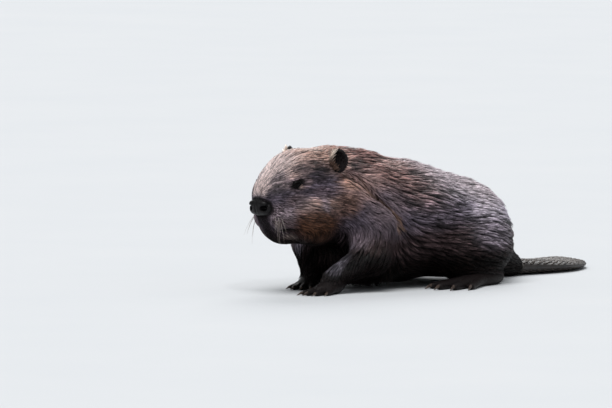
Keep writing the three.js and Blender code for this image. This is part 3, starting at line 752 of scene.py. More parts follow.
def fur_skin_material():
    """Short flat hair on the skin, which fades into bare, pebbled hide on the feet."""
    s = Shader("beaver_skin", Specular_IOR_Level=0.12)
    bare = s.attribute("bare", "Fac")
    fine = s.noise((2400, 420, 1500))
    hair = s.blend(fine, s.noise((900, 120, 420), 3.0), 0.6)
    pebble = s.cells((420, 420, 420))
    bright = s.blend(s.span(hair, 0.35, 0.65, 0.6, 1.25), s.span(pebble, 0.0, 0.7, 1.25, 0.75), bare)
    s.drive("Base Color", s.shaded(s.attribute("tint"), bright))
    s.drive("Roughness", s.span(fine, 0.3, 0.7, 0.42, 0.6))
    s.bump(s.blend(hair, s.math("MULTIPLY", pebble, -0.8), bare), 0.0009)
    return s.material


def coat_material():
    """Wet hair. The tint's alpha is how much sky its surface faces, and so how much it gleams."""
    s = Shader("beaver_coat", Specular_IOR_Level=0.3)
    strand = s.noise((2600, 300, 1800))
    s.drive("Base Color", s.shaded(s.attribute("tint"), s.span(strand, 0.3, 0.7, 0.78, 1.22)))
    s.drive("Roughness", s.span(strand, 0.3, 0.7, 0.27, 0.46))
    s.drive("Specular IOR Level", s.span(s.attribute("tint", "Alpha"), 0, 1, 0.06, 0.7))
    s.bump(strand, 0.0004)
    return s.material


def nose_material():
    """Dark wet skin, finely pebbled."""
    s = Shader("beaver_nose", Specular_IOR_Level=0.14, Coat_Weight=0.12, Coat_Roughness=0.14)
    grain = s.cells((900, 900, 900))
    blotch = s.noise((160, 160, 160), 3.0)
    s.drive("Base Color", s.mix(s.span(blotch, 0.35, 0.65, 0, 1), linear(4, 3, 4), linear(15, 12, 14)))
    s.drive("Roughness", s.span(grain, 0, 0.7, 0.28, 0.5))
    s.bump(s.span(grain, 0, 0.6, 1, 0), 0.00025)
    return s.material


def mottled(s, grain, spread, dark, pale, roughness=None, bump=None):
    """Drives a shader by one grain: its colour from dark to pale over the values in `spread`, and if they
    are given its roughness between two values and a bump of so many metres."""
    s.drive("Base Color", s.mix(s.span(grain, *spread, 0, 1), dark, pale))
    if roughness:
        s.drive("Roughness", s.span(grain, 0.3, 0.7, *roughness))
    if bump:
        s.bump(grain, bump)
    return s.material


def ear_material():
    s = Shader("beaver_ear", Specular_IOR_Level=0.1, Sheen_Weight=0.03, Sheen_Roughness=0.5)
    down = s.noise((1800, 1800, 700), 3.0)
    return mottled(s, down, (0.35, 0.65), linear(8, 6, 7), linear(24, 18, 19), (0.5, 0.75), 0.0006)


def eye_material():
    s = Shader("beaver_eye", 0.05, Specular_IOR_Level=0.06)
    return mottled(s, s.noise((500, 500, 500), 4.0), (0.4, 0.65), linear(2, 2, 2), linear(9, 5, 4))


def claw_material():
    s = Shader("beaver_claw")
    grain = s.noise((700, 140, 700), 3.0)
    return mottled(s, grain, (0.35, 0.65), linear(38, 28, 24), linear(86, 70, 60), (0.28, 0.5), 0.0003)


def whisker_material():
    s = Shader("beaver_whisker", 0.4)
    return mottled(s, s.noise((120, 120, 120)), (0.4, 0.6), linear(150, 136, 126), linear(206, 196, 188))


def tail_material(name, dark, pale):
    """Horny skin, in small grains and in wide patches."""
    s = Shader(name)
    grain = s.noise((1400, 1400, 1400), 3.0)
    shade = s.blend(s.noise((60, 60, 60), 3.0), grain, 0.4)
    s.drive("Base Color", s.mix(s.span(shade, 0.4, 0.6, 0, 1), dark, pale))
    s.drive("Roughness", s.span(grain, 0.3, 0.7, 0.36, 0.6))
    s.bump(grain, 0.0004)
    return s.material


# ---- Skin ----
FLESH = ["head", "neck", "chest", "barrel", "rump", "tail_root",
         *(f"{limb}_{side}" for limb in ("foreleg", "forefoot", "hindleg", "hindfoot") for side in SIDES)]
HAIR_SHADE = 0.5  # painted shade: brightness of the skin under the hair, over the markings' own


def make_skin(surface):
    """The one skin. Its grid is finest over the head and towards the floor, where the feet are."""
    across = [(-165, -72, 3.0), (-72, 72, 1.7), (72, 165, 3.0)]
    along = [(-6, 142, 1.7), (142, 590, 2.9)]
    upwards = [(-3, 33, 1.5), (33, 231, 2.2)]
    points, faces = net(skin_field, [spaced(*stretches) for stretches in (across, along, upwards)])
    points[:, 2] = np.maximum(points[:, 2], 0)
    _, slope = value_and_slope(skin_field, points)
    bare = smoothstep(feet_field(*points.T), 6, 1)
    tint = colours_and_painted_light(points, unit(slope)[:, 2]) * (HAIR_SHADE + (1 - HAIR_SHADE) * bare[:, None])
    piece = add_piece("beaver_skin", points, faces, surface, "body_coat", tint, bare)
    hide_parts(*FLESH)
    return points, faces


# ---- Head pieces ----
def make_nose(surface):
    """The bare nose pad: two wings round the nostrils, and a groove down the middle."""
    z = NOSE_HEIGHT
    groove = segment((0, -2.2, z + 2), (0, 3, z - 19), 0.9, 1.6)

    def field(*point):
        return -smooth_min(smooth_min(-nose_pad(*point), nostrils(*point), 1.5), groove(*point), 2.5)

    points, faces = net(field, around((0, 10, z - 3), (23, 14, 17), 0.5), 4)
    piece = add_piece("nose_pad", points, faces, surface, "nose_skin")
    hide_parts("nose")


CORNEA = 0.02  # how far the cornea stands out, as a share of the eye's radius


def make_eye(side, surface):
    """A dark eyeball with a slightly raised cornea."""
    slit, lid, out = EYE_AXES[side]
    polar = np.linspace(0, math.pi, 25)[1:-1, None, None]
    turn = np.linspace(0, 2 * math.pi, 32, endpoint=False)[:, None]
    circle = slit * np.cos(turn) + lid * np.sin(turn)
    radius = EYE_RADIUS * (1 + CORNEA * np.exp(-((polar / 0.7) ** 2)))
    rings = EYES[side] + (circle * np.sin(polar) + out * np.cos(polar)) * radius
    front, rear = EYES[side] + out * EYE_RADIUS * (1 + CORNEA), EYES[side] - out * EYE_RADIUS
    piece = add_piece(f"eyeball_{side}", *lofted(rings, front, rear), surface, "eye_gloss")
    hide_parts(f"eye_{side}")


LID_SLIT = (6.2, 4.0, 3.0)  # mm from the eye's middle to the slit's corners, its upper and its lower edge
# Loops of the lids' section as (times the slit's size, mm over the eyeball or the skin, share of the skin).
LID_SECTION = [(0.97, 0.1, 0), (0.99, 0.5, 0), (1.05, 0.85, 0.05), (1.15, 0.95, 0.25), (1.35, 0.8, 0.65),
               (1.65, 0.4, 1), (2.0, -1.2, 1), (1.5, -2.2, 1), (1.1, -0.9, 0.3)]


def closed_loops(loops):
    """Quads of a surface through closed loops of equal length, the last joined to the first."""
    index = np.arange(len(loops) * len(loops[0])).reshape(len(loops), -1)
    right, below = np.roll(index, -1, axis=1), np.roll(index, -1, axis=0)
    quads = np.stack([index, right, np.roll(right, -1, axis=0), below], axis=-1).reshape(-1, 4)
    points = np.concatenate(loops)
    return points, facing_out(points, quads)


def make_lids(side, surface):
    """Upper and lower lids, thick rimmed, round an almond slit. Their outer edge dives under the skin."""
    slit, lid, out = EYE_AXES[side]
    centre = EYES[side]
    turn = np.linspace(0, 2 * math.pi, 64, endpoint=False)
    wide, upper, lower = LID_SLIT
    tall = np.where(np.sin(turn) > 0, upper, lower) * np.abs(np.sin(turn)) ** 0.35
    edge = np.stack([wide * np.cos(turn), tall * np.sin(turn)], axis=1)
    loops = []
    for size, over, share in LID_SECTION:
        flat = (edge * size) @ np.array([slit, lid])
        away = np.minimum(np.linalg.norm(flat, axis=1), EYE_RADIUS * 0.96)[:, None]
        ball = unit(flat) * away + out * np.sqrt(EYE_RADIUS**2 - away**2)
        on_ball = centre + ball * (1 + over / EYE_RADIUS)
        on_skin, _ = at_height(bare_body, centre + flat + out * 3, over, 4)
        loops.append(on_ball * (1 - share) + on_skin * share)
    points, faces = closed_loops(loops)
    tint = np.tile(linear(11, 8, 8), (len(points), 1))
    add_piece(f"eyelids_{side}", points, faces, surface, "face_coat", tint, np.ones(len(points)))


EAR_LEAN, EAR_TURN = math.radians(-12), math.radians(38)  # backwards, and outwards from the front
EAR_HALF_WIDE, EAR_HALF_TALL = EAR_HEIGHT * 0.37, EAR_HEIGHT * 0.5
EAR_TUFTS, EAR_FRONT_TUFTS = 900, 170  # of each ear
EAR_FUR_RISES = [-0.3, 0.5, 0.8, 0.9]  # mm over the ear's skin, at the tufts' stations
EAR_SHADES = [0.5, 0.9, 1.2, 1.5]  # brightness at the stations
EAR_CONTRAST = 0.3  # spread of the tufts' brightness, as a power of e
EAR_FUR_FLATNESS = 0.8  # 0 is upright and 1 flat on the skin
EAR_GLEAM = 0.25  # how much sky the tufts face


def ear_frame(side):
    """An ear's own axes, as rows: across, forwards out of the cup, and up. Also its centre."""
    s = SIDES[side]
    cos, sin = math.cos(EAR_LEAN), math.sin(EAR_LEAN)
    lean_back = np.array([[1, 0, 0], [0, cos, -sin], [0, sin, cos]])
    cos, sin = math.cos(EAR_TURN * s), math.sin(EAR_TURN * s)
    turn_out = np.array([[cos, -sin, 0], [sin, cos, 0], [0, 0, 1]])
    return (turn_out @ lean_back).T, np.array([s * EAR_OUT, EAR_BACK, EAR_UP])


def ear_field(s):
    """An ear in its own frame: a thick-edged cup with a fold inside its rear edge."""
    cup = ellipsoid((0, 0, 0), (EAR_HALF_WIDE, 8, EAR_HALF_TALL))
    hollow = ellipsoid((0, -5.5, -1), (EAR_HALF_WIDE * 0.8, 8, EAR_HALF_TALL * 0.83))
    fold = segment((s * 5, 0.5, -EAR_HALF_TALL * 0.6), (s * 7, 1, EAR_HALF_TALL * 0.2), 2.6, 1.2)

    def distance(*point):
        return smooth_min(-smooth_min(-cup(*point), hollow(*point), 2), fold(*point), 3)

    return distance


def make_ear(side, surface, hair):
    """A round cup that opens forwards and outwards, and short fur over it."""
    axes, centre = ear_frame(side)
    field = ear_field(SIDES[side])
    points, faces = net(field, around((0, 0, 0), (EAR_HALF_WIDE + 2, 10, EAR_HALF_TALL + 2), 0.7))
    piece = add_piece(f"ear_cup_{side}", points @ axes + centre, faces, surface, "ear_skin")
    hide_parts(f"ear_{side}")

    roots, way, length, tint = ear_hair(SIDES[side], points, faces)
    _, slope = value_and_slope(field, roots)
    normal = unit(slope)
    way = unit(way - normal * (way * normal).sum(axis=1)[:, None] * EAR_FUR_FLATNESS)
    path = [roots + way * (length * share)[:, None] + normal * rise
            for share, rise in zip(STATIONS, EAR_FUR_RISES)]
    verts = tuft_points(path, [normal] * 3, [way] * 3, length) @ axes + centre
    tone = np.exp(EAR_CONTRAST * RNG.normal(0, 1, len(roots)))[:, None]
    colour = tint[:, None] * (np.interp(TUFT_ALONG, STATIONS, EAR_SHADES) * tone)[..., None]
    rgba = np.concatenate([colour, np.full((*colour.shape[:2], 1), EAR_GLEAM)], axis=2)
    turn = np.arctan2(roots[:, 0], roots[:, 1]) / (2 * math.pi) + 0.5
    up = 0.5 + roots[:, 2] / (2.4 * EAR_HALF_TALL)
    add_tufts(f"ear_fur_{side}", verts, rgba, hair, "ear_skin", turn, up)


def ear_hair(s, points, faces):
    """Roots, ways, lengths and colours of an ear's tufts, in its own frame."""
    # Dark fur lies from the ear's root to its rim, on the back and more thinly inside.
    roots = picked(points, faces, EAR_TUFTS, lambda middle: 0.35 + 0.65 * smoothstep(middle[:, 1], -4, 2))
    way = np.stack([roots[:, 0] * 0.03, 0 * roots[:, 0] - 0.12, 0 * roots[:, 0] + 1], axis=1)
    length = RNG.uniform(2.6, 5.2, EAR_TUFTS) * (1 - 0.7 * smoothstep(roots[:, 2], 2, EAR_HALF_TALL))
    # Pale fur leans over the front edge of the opening.
    turn = RNG.uniform(-1.3, 1.1, EAR_FRONT_TUFTS)
    across, up = -s * EAR_HALF_WIDE * 0.97 * np.cos(turn), EAR_HALF_TALL * 0.9 * np.sin(turn)
    edge = np.stack([across, 0 * turn - 6, up], axis=1)
    edge += RNG.normal(0, 1, edge.shape)
    out, back = s * RNG.uniform(0.5, 1.3, len(edge)), RNG.uniform(-0.5, 0.1, len(edge))
    over = np.stack([out, back, 0 * turn + 0.9], axis=1)
    pale = smoothstep(edge[:, 2], -6, 8)[:, None]
    long = RNG.uniform(6, 11, len(edge)) * (1 - 0.4 * smoothstep(edge[:, 2], 4, EAR_HALF_TALL))
    tint = [np.tile(EAR_FUR, (EAR_TUFTS, 1)), EAR_EDGE * (1 - pale) + EAR_TUFT * pale]
    return (np.concatenate([roots, edge]), unit(np.concatenate([way, over])),
            np.concatenate([length, long]), np.concatenate(tint))


# ---- Claws ----
def tube(path, sizes, sides):
    """A closed tube along `path` of (half width, half height) `sizes`, its width parallel to the floor."""
    path = np.asarray(path, float)
    tangent = unit(np.gradient(path, axis=0))
    across = unit(np.cross(tangent, (0, 0, 1)))
    rise = np.cross(across, tangent)
    turn = np.linspace(0, 2 * math.pi, sides, endpoint=False)
    wide, tall = np.array(sizes, float).T
    rings = (path[:, None] + across[:, None] * (wide[:, None] * np.cos(turn))[..., None]
             + rise[:, None] * (tall[:, None] * np.sin(turn))[..., None])
    return lofted(rings, path[0], path[-1])


CLAW_ROOT = 3  # mm that a claw reaches back into its toe
CLAW_TIP_UP, CLAW_ARCH = 0.9, 0.8  # mm of the tip over the floor, and of the claw over a straight line


def make_claws(side, limb, foot, length, radius, surface):
    """A tapered claw in the end of each toe, which comes down to the floor."""
    t = np.linspace(0, 1, 9)
    sizes = np.stack([radius * 0.8 * (1 - 0.86 * t**1.4), radius * (1 - 0.88 * t**1.4)], axis=1)
    claws = []
    for ahead, out, spread, toe_length, toe_radius in foot.toes:
        along = toe_length - CLAW_ROOT + (length + CLAW_ROOT) * t
        root_up = toe_radius * 0.75
        up = root_up - (root_up - CLAW_TIP_UP) * t**2 + CLAW_ARCH * np.sin(math.pi * np.minimum(1, 1.2 * t))
        path = [foot.place(ahead + a, out + spread * a, u) for a, u in zip(along, up)]
        points, faces = tube(path, sizes, 10)
        points[:, 2] = np.maximum(points[:, 2], 0.05)
        claws.append((points, faces))
    piece = add_piece(f"{limb}_claws_{side}", *joined(claws), surface, "claw_horn")
    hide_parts(*(f"{limb}_claw_{side}_{n + 1}" for n in range(5)))


# ---- Tail ----
def tail_middle(t):
    """Points along the middle of the tail's blade, t from 0 at its neck to 1 at its tip."""
    angle = math.radians(TAIL_BEND) * (0.35 + 0.65 * t)
    x = TAIL_NECK[0] - TAIL_LENGTH * t * np.sin(angle)
    y = TAIL_NECK[1] + 6 + TAIL_LENGTH * t * np.cos(angle)
    return np.stack([x, y, 14 - 7 * np.minimum(1, 1.6 * t)], -1)


def tail_half_width(t):
    """Narrow at the neck, widest past the middle and round at the tip."""
    neck = 0.4 + 0.6 * smoothstep(t, -0.1, 0.5)
    tip = np.sqrt(np.maximum(0, 1 - np.maximum(0, (t - 0.5) / 0.5) ** 2.6))
    return np.maximum(3, TAIL_HALF_WIDTH * neck * tip)


def tail_half_height(t):
    return TAIL_HALF_THICKNESS * (1.35 - 0.75 * t)


def tail_surface(t, across, face):
    """Points on the blade: `across` is -1 to 1 of its half width, `face` 1 on top and -1 below. Also the
    directions along, across and out of the blade there."""
    t = np.asarray(t, float)
    along = unit(tail_middle(t + 1e-3) - tail_middle(t - 1e-3))
    side = unit(np.cross(along, (0, 0, 1)))
    rise = np.cross(side, along)
    bulge = np.sqrt(np.maximum(0, 1 - across**2))
    wide, tall = tail_half_width(t), tail_half_height(t)
    points = tail_middle(t) + side * (across * wide)[..., None] + rise * (face * bulge * tall)[..., None]
    out = unit(side * (across * tall)[..., None] + rise * (face * bulge * wide)[..., None])
    return points, along, side, out


def make_tail(surface, scales_surface):
    """The blade, a flat tube of 60 rings, and the plates over it."""
    t = np.linspace(0, 0.997, 60)
    turn = np.linspace(0, 2 * math.pi, 40, endpoint=False)
    face = np.where(np.sin(turn) < 0, -1, 1)
    rings = [tail_surface(np.full(len(turn), k), np.cos(turn), face)[0] for k in t]
    points, faces = lofted(np.array(rings), tail_middle(t[0]), tail_middle(t[-1]))
    points[:, 2] = np.maximum(points[:, 2], 0)
    piece = add_piece("tail_blade", points, faces, surface, "tail_scales")
    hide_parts("tail")
    add_piece("tail_plates", *tail_plates(), scales_surface, "tail_scales")


PLATE_PITCH = 6.2  # from row to row of the tail's plates
PLATE_REACH = 0.97  # how near a plate's middle may lie to the blade's edge, as a share of the half width
PLATE_RINGS = [(1.0, -0.5), (0.93, 0.35), (0.5, 0.85)]  # share of the size, and mm out of the blade
PLATE_DEPTH, PLATE_HEIGHT = 0.8, 0.95  # mm into and out of the blade, in a plate's middle


def tail_plates():
    """Domed six-sided plates in staggered rows over both faces of the blade."""
    places = []
    rows = int(TAIL_LENGTH / PLATE_PITCH)
    for face in (1, -1):
        for row in range(1, rows):
            t = row / rows
            count = int(2 * float(tail_half_width(t)) / (PLATE_PITCH * 1.12))
            for n in range(count + 1):
                across = ((n + 0.5 * (row % 2)) / max(count, 1)) * 2 - 1
                if abs(across) < PLATE_REACH:
                    places.append((t + RNG.normal(0, 0.002), across + RNG.normal(0, 0.012), face))
    t, across, face = np.array(places).T
    centre, along, side, out = tail_surface(t, np.clip(across, -PLATE_REACH, PLATE_REACH), face)
    size = PLATE_PITCH * RNG.uniform(0.5, 0.58, len(places))[:, None]
    narrow = 0.55 + 0.45 * smoothstep(1 - np.abs(across), 0, 0.25)[:, None]
    turns = np.arange(6) * math.pi / 3
    corners = [(along * math.cos(a) + side * math.sin(a) * narrow) * size for a in turns]
    rings = np.array([[centre + corner * share + out * lift for corner in corners]
                      for share, lift in PLATE_RINGS])
    bottoms, tops = centre - out * PLATE_DEPTH, centre + out * PLATE_HEIGHT
    points, faces = joined([lofted(*plate) for plate in zip(np.moveaxis(rings, 2, 0), bottoms, tops)])
    points[:, 2] = np.maximum(points[:, 2], 0)
    return points, faces


# ---- Whiskers ----
WHISKER_RADIUS = 0.3
WHISKER_ROWS, ROW_WHISKERS = 2, 3  # on each side
WHISKER_LENGTHS = (20, 32)


def make_whiskers(surface):
    """Pale bristles from the whisker pads, which sweep back and droop."""
    t = np.linspace(0, 1, 8)[:, None]
    sizes = WHISKER_RADIUS * (1 - 0.8 * np.tile(t, 2))
    hairs = []
    for s in SIDES.values():
        for row in range(WHISKER_ROWS):
            for n in range(ROW_WHISKERS):
                back, up = 19 + n * 5 + RNG.normal(0, 1), NOSE_HEIGHT - 18 - row * 5 + RNG.normal(0, 1)
                root, slope = at_height(bare_body, np.array([(s * 24, back, up)]), -0.5, 6)
                way = unit(slope[0] * 0.55 + np.array([0, 0.18 + 0.12 * RNG.normal(), -0.6 - 0.2 * row]))
                droop = np.array([-0.15 * s, 0.15, -0.6])
                path = root + (way * t + droop * t**2 * 0.5) * RNG.uniform(*WHISKER_LENGTHS)
                hairs.append(tube(path, sizes, 4))
    add_piece("whiskers", *joined(hairs), surface, "face_coat")


# ---- Coat ----
TUFTS = 86000
PIECE_TUFTS = 12000  # 16 triangles each, under 200,000 a piece
PATCH = 0.003  # a tuft's patch on the baked map


FAN_CENTRE = (0, -14, NOSE_HEIGHT + 6)  # just ahead of the nose, from where the head's hair fans out


def lay(points):
    """The way the hair lies at each point, before it is laid flat on the skin."""
    x, y, z = points.T
    s, out = np.sign(x), np.abs(x)
    none = 0 * x
    # On the head it fans out from the nose, and on the trunk it runs backwards, and down on the back.
    away = unit(points - np.array(FAN_CENTRE))
    away[:, 2] = away[:, 2] * graph(y, {12: 1, 40: 0.35}) - 0.1
    on_back = smoothstep(z, 96, 150) * smoothstep(y, 150, 230) * smoothstep(out, 4, 30)
    down = 0.16 + 0.1 * smoothstep(y, 300, 420) + 0.22 * on_back
    backwards = np.stack([0.22 * s * on_back, none + 1, -down], axis=1)
    on_head = smoothstep(y, 150, 80)
    way = away * on_head[:, None] + backwards * (1 - on_head)[:, None]

    def turn_to(where, *towards):
        nonlocal way
        way = way + (np.stack(towards, axis=1) - way) * where[:, None]

    steep = smoothstep(z, 112, 70)
    on_shoulder = smoothstep(y, 125, 175) * smoothstep(y, 262, 222) * smoothstep(out, 38, 70)
    on_shoulder *= smoothstep(z, 185, 140)
    turn_to(0.9 * on_shoulder, 0.1 * s, 0.88 - 0.45 * steep, -0.48 - 0.42 * steep)
    by_fold = smoothstep(fold_line(x, y, z), 16, 5) * smoothstep(out, 50, 62)
    turn_to(0.85 * by_fold, 0.3 * s, none + 0.6, none - 0.74)
    on_arm = smoothstep(z, 110, 70) * smoothstep(y, 222, 196) * smoothstep(out, 20, 32)
    turn_to(on_arm, none, none - 0.5, none - 0.85)
    return unit(way)


HAIR_LENGTHS = {0: 3.5, 20: 6, 60: 12, 110: 18, 170: 22, 240: 21, 500: 21, 560: 13}  # by mm from the nose
LOW_HAIR = {8: 0.35, 90: 1}  # share of that length, by mm from the floor
# Middles and radii of spots with shorter hair, on the whisker pads and the shoulders.
SHORT_MUZZLE, SHORT_SHOULDER = ((24, 22, 124), (18, 18, 18)), ((80, 176, 130), (40, 46, 50))


def hair_length(points):
    """How long the tufts are at each point."""
    _, y, z = points.T
    length = graph(y, HAIR_LENGTHS)
    length *= 0.5 + 0.5 * smoothstep(spot_distance(points, *SHORT_MUZZLE), 0.7, 1.2)
    length *= 0.72 + 0.28 * smoothstep(spot_distance(points, *SHORT_SHOULDER), 0.6, 1.3)
    low = graph(z, LOW_HAIR)
    return length * np.where(y < 230, low, 0.4 + 0.6 * low)


def picked(points, faces, count, density):
    """`count` places spread over quads, as thick as `density` says from the middles of their triangles."""
    a, b, c, d = (points[faces[:, n]] for n in range(4))
    triangles = np.concatenate([np.stack([a, b, c], 1), np.stack([a, c, d], 1)])
    edges = triangles[:, 1:] - triangles[:, :1]
    area = np.linalg.norm(np.cross(edges[:, 0], edges[:, 1]), axis=1) / 2
    wanted = area * density(triangles.mean(axis=1))
    chosen = RNG.choice(len(area), count, p=wanted / wanted.sum())
    u, v = RNG.random((2, count))
    u, v = np.where(u + v > 1, 1 - u, u), np.where(u + v > 1, 1 - v, v)
    return triangles[chosen, 0] + edges[chosen, 0] * u[:, None] + edges[chosen, 1] * v[:, None]


USUAL_HAIR, SHORTEST_HAIR, CROWDING = 26, 5, 1.15  # mm, mm, and how much thicker shorter hair stands
LOWEST_ROOT = 1.5  # mm over the floor


def coat_density(middle):
    """How thickly the tufts stand: thicker where the hair is short, and none on bare skin."""
    x, y, z = middle.T
    short = USUAL_HAIR / np.maximum(hair_length(middle), SHORTEST_HAIR)
    wanted = smoothstep(feet_field(x, y, z), 0, 4) * short**CROWDING
    wanted *= smoothstep(z, LOWEST_ROOT, 40) * 0.8 + 0.2
    wanted *= z >= LOWEST_ROOT
    wanted *= smoothstep(nose_pad(x, y, z), -0.5, 1.0)
    wanted *= smoothstep(mouth_line(x, y, z), 0.3, 1.6)
    for side, centre in EYES.items():
        wanted *= smoothstep(eye_distance(side, middle - centre), 0.95, 1.1)
    return wanted


FACE_TO_BODY = (95, 170)  # where the face's coat goes over into the body's, in mm from the nose
CLUMP_TUFTS = 13  # how many tufts stick together in a wet clump
FACE_CLUMPS = 3  # how many times as many clumps the face's tufts form
CLUMP_SLIMNESS = [0.17, 0.3]  # how much less a distance counts along the hair than across it: face, body
STATIONS = [0, 0.34, 0.68, 1]  # of a tuft's rings and tip along its length
HEIGHTS = [0, 0.5, 0.85, 0.95]  # of the stations over the skin, as a share of the coat's depth
PULLS = [0, 0.22, 0.42, 0.52]  # how far each station is drawn to its clump's middle
LENGTH_SPREAD = (0.8, 1.25)  # of the tufts, over the length of hair at their place
CLUMP_TURN, TUFT_TURN = 0.07, 0.06  # spread of the clumps' and tufts' ways, in radians
CLUMP_LOWER = (-0.1, 0.35)  # how much lower a clump stands, as a share of the coat's depth
BORDER_LOWER = 0.45  # and a tuft on the border between clumps
CLUMP_CONTRAST, TUFT_CONTRAST = 0.34, 0.4  # spread of the clumps' and tufts' brightness, as powers of e
BORDER_SHADE = 1.05  # painted shade: how much darker a tuft is on the border between clumps
DARK_STREAKS, PALE_STREAKS = 1.5, 0.8  # how strongly each sort of streak shows
TONE_KNEE = 0.4  # brighter tones are weakened over this
WETNESS, MATTED = [0.2, 0.62], 0.38  # how far tufts join their clump: on the face and body, and more on top
FURTHEST_PULL = 6  # mm
DRIP = 14  # mm that hair hangs under the chest
LOWEST_HAIR = 0.2  # mm over the floor
SLEEK_SHOULDER = (80, 176, 120), (50, 52, 70)  # middle and radii of a patch with hardly any clumps
AXIS_HEIGHT = 95  # of the line from nose to tail that streaks and the map for baking go round


def nearest_clumps(roots, ways, clump_roots, slimness):
    """Each root's clump, and from 0 to 1 how far the root is from the border with the next clump."""
    tree = KDTree(len(clump_roots))
    for n, place in enumerate(clump_roots):
        tree.insert(place, n)
    tree.balance()
    close = np.array([[n for _, n, _ in tree.find_n(root, 12)] for root in roots])
    gap = roots[:, None] - clump_roots[close]
    along = (gap * ways[:, None]).sum(axis=-1)
    across = np.sqrt(np.maximum((gap**2).sum(axis=-1) - along**2, 0))
    distance = np.hypot(along * slimness[:, None], across)
    order = np.argsort(distance, axis=1)[:, :2]
    first, second = np.take_along_axis(distance, order, 1).T
    mine = np.take_along_axis(close, order[:, :1], 1)[:, 0]
    return mine, smoothstep((second - first) / (second + first + 1e-6), 0.02, 0.4)


def make_coat(points, faces, surface):
    """Tufts all over the skin. Neighbours stick together in wet clumps, whose tips draw towards one line,
    and stand lower along the borders between clumps, darkened there by painted shade."""
    roots = picked(points, faces, TUFTS, coat_density)
    length = hair_length(roots) * RNG.uniform(*LENGTH_SPREAD, TUFTS)
    ways, normal = tangent(roots, np.zeros(TUFTS))
    clumps = TUFTS // CLUMP_TUFTS
    on_body = smoothstep(roots[:, 1], *FACE_TO_BODY)
    likely = FACE_CLUMPS + (1 - FACE_CLUMPS) * on_body
    clump_roots = roots[RNG.choice(TUFTS, clumps, replace=False, p=likely / likely.sum())]
    slimness = np.interp(on_body, [0, 1], CLUMP_SLIMNESS)
    mine, belonging = nearest_clumps(roots, ways, clump_roots, slimness)
    # The cheeks are sleek, the flanks are wetter, and the crown and back are matted into locks.
    facing_up = smoothstep(normal[:, 2], 0.0, 0.5)
    on_shoulder = smoothstep(spot_distance(roots, *SLEEK_SHOULDER), 1.2, 0.7)
    wet = np.interp(on_body, [0, 1], WETNESS) * (1 - 0.7 * on_shoulder)
    wet += MATTED * smoothstep(roots[:, 1], 30, 80) * facing_up
    clump_turn = RNG.normal(0, CLUMP_TURN, clumps)
    turn = (clump_turn[mine] + RNG.normal(0, TUFT_TURN, TUFTS)) * wet
    clump_height = 1 - RNG.uniform(*CLUMP_LOWER, clumps)
    depth = coat_depth(*roots.T)
    lift = depth * (1 - wet * (1 - clump_height[mine])) * (1 - BORDER_LOWER * wet * (1 - belonging))
    clump_line = clump_paths(clump_roots, clump_turn)

    path, normals, steps = [at_height(skin_field, roots, -0.5, 1)[0]], [normal], []
    for n in (1, 2, 3):
        way, _ = tangent(path[-1], turn, normals[-1])
        ahead = path[-1] + way * ((STATIONS[n] - STATIONS[n - 1]) * length)[:, None]
        gap = clump_line[n][mine] - ahead
        gap -= way * (gap * way).sum(axis=1)[:, None]
        gap *= np.minimum(1, FURTHEST_PULL / np.maximum(np.linalg.norm(gap, axis=1), 1e-6))[:, None]
        ahead = ahead + gap * (PULLS[n] * wet)[:, None]
        ahead, up = at_height(skin_field, ahead, HEIGHTS[n] * lift * RNG.uniform(0.85, 1.1, TUFTS), 1)
        steps.append(unit(ahead - path[-1]))
        path.append(ahead)
        normals.append(up)
    drop = hanging(roots, normal, belonging)
    for place, share in zip(path, STATIONS):
        place[:, 2] -= drop * share
    verts = tuft_points(path, normals, steps, length)
    verts[..., 2] = np.maximum(verts[..., 2], LOWEST_HAIR)

    # The tone is a power of e: the clump's and tuft's own, with painted shade in the hollows and on the
    # borders between clumps, and streaks on top.
    tone = CLUMP_CONTRAST * RNG.normal(0, 1, clumps)[mine] + TUFT_CONTRAST * RNG.normal(0, 1, TUFTS)
    tone += 0.5 * (lift / depth - 0.8) - BORDER_SHADE * wet**0.75 * (1 - belonging)
    lines = streaks(roots) * (1 - on_shoulder) * (0.17 + 0.4 * facing_up * (1.4 - 0.7 * on_body))
    tone += np.where(lines < 0, DARK_STREAKS, PALE_STREAKS) * lines
    tone *= 1 - 0.45 * on_shoulder
    tone = np.where(tone > TONE_KNEE, TONE_KNEE + 0.7 * (tone - TONE_KNEE), tone)
    save_coat(roots, verts, tuft_tint(roots, normal, np.exp(tone)), surface)


def clump_paths(roots, turn):
    """The line that each clump draws its tufts to, as its points at the tufts' stations."""
    line = [roots]
    for before, after in zip(STATIONS, STATIONS[1:]):
        way, _ = tangent(line[-1], turn)
        ahead = line[-1] + way * ((after - before) * hair_length(roots))[:, None]
        line.append(at_height(skin_field, ahead, 2, 1)[0])
    return line


def hanging(roots, normal, belonging):
    """How far the tufts' tips hang down: under the chest wet hair hangs in points."""
    x, y, z = roots.T
    under = smoothstep(-normal[:, 2], 0.1, 0.6) * smoothstep(y, 150, 172) * smoothstep(y, 245, 215)
    under *= smoothstep(np.abs(x), 80, 66)
    return np.minimum(DRIP, 0.55 * z) * under * (0.4 + 0.6 * belonging)


STREAKS, STREAK_LENGTH, STREAK_ROWS = 190, 28, 28  # how many go round the body, mm and number along it


def streaks(points):
    """Paler and darker streaks of hair, which fan out from the nose and then run along the body."""
    x, y, z = points.T
    fan = 150 / (np.clip(y, 0, 136) + 14)
    values = RNG.normal(0, 1, (STREAKS + 2, STREAK_ROWS))
    row = (np.arctan2(x * fan, z - AXIS_HEIGHT) / (2 * math.pi) + 0.5) * STREAKS
    column = (y + 20) / STREAK_LENGTH + 3 * np.sin(2.4 * np.floor(row))**2
    r, c = row.astype(int), column.astype(int)
    u, v = row - r, smoothstep(column - c, 0, 1)
    low = values[r, c] * (1 - v) + values[r, c + 1] * v
    high = values[r + 1, c] * (1 - v) + values[r + 1, c + 1] * v
    return low * (1 - u) + high * u


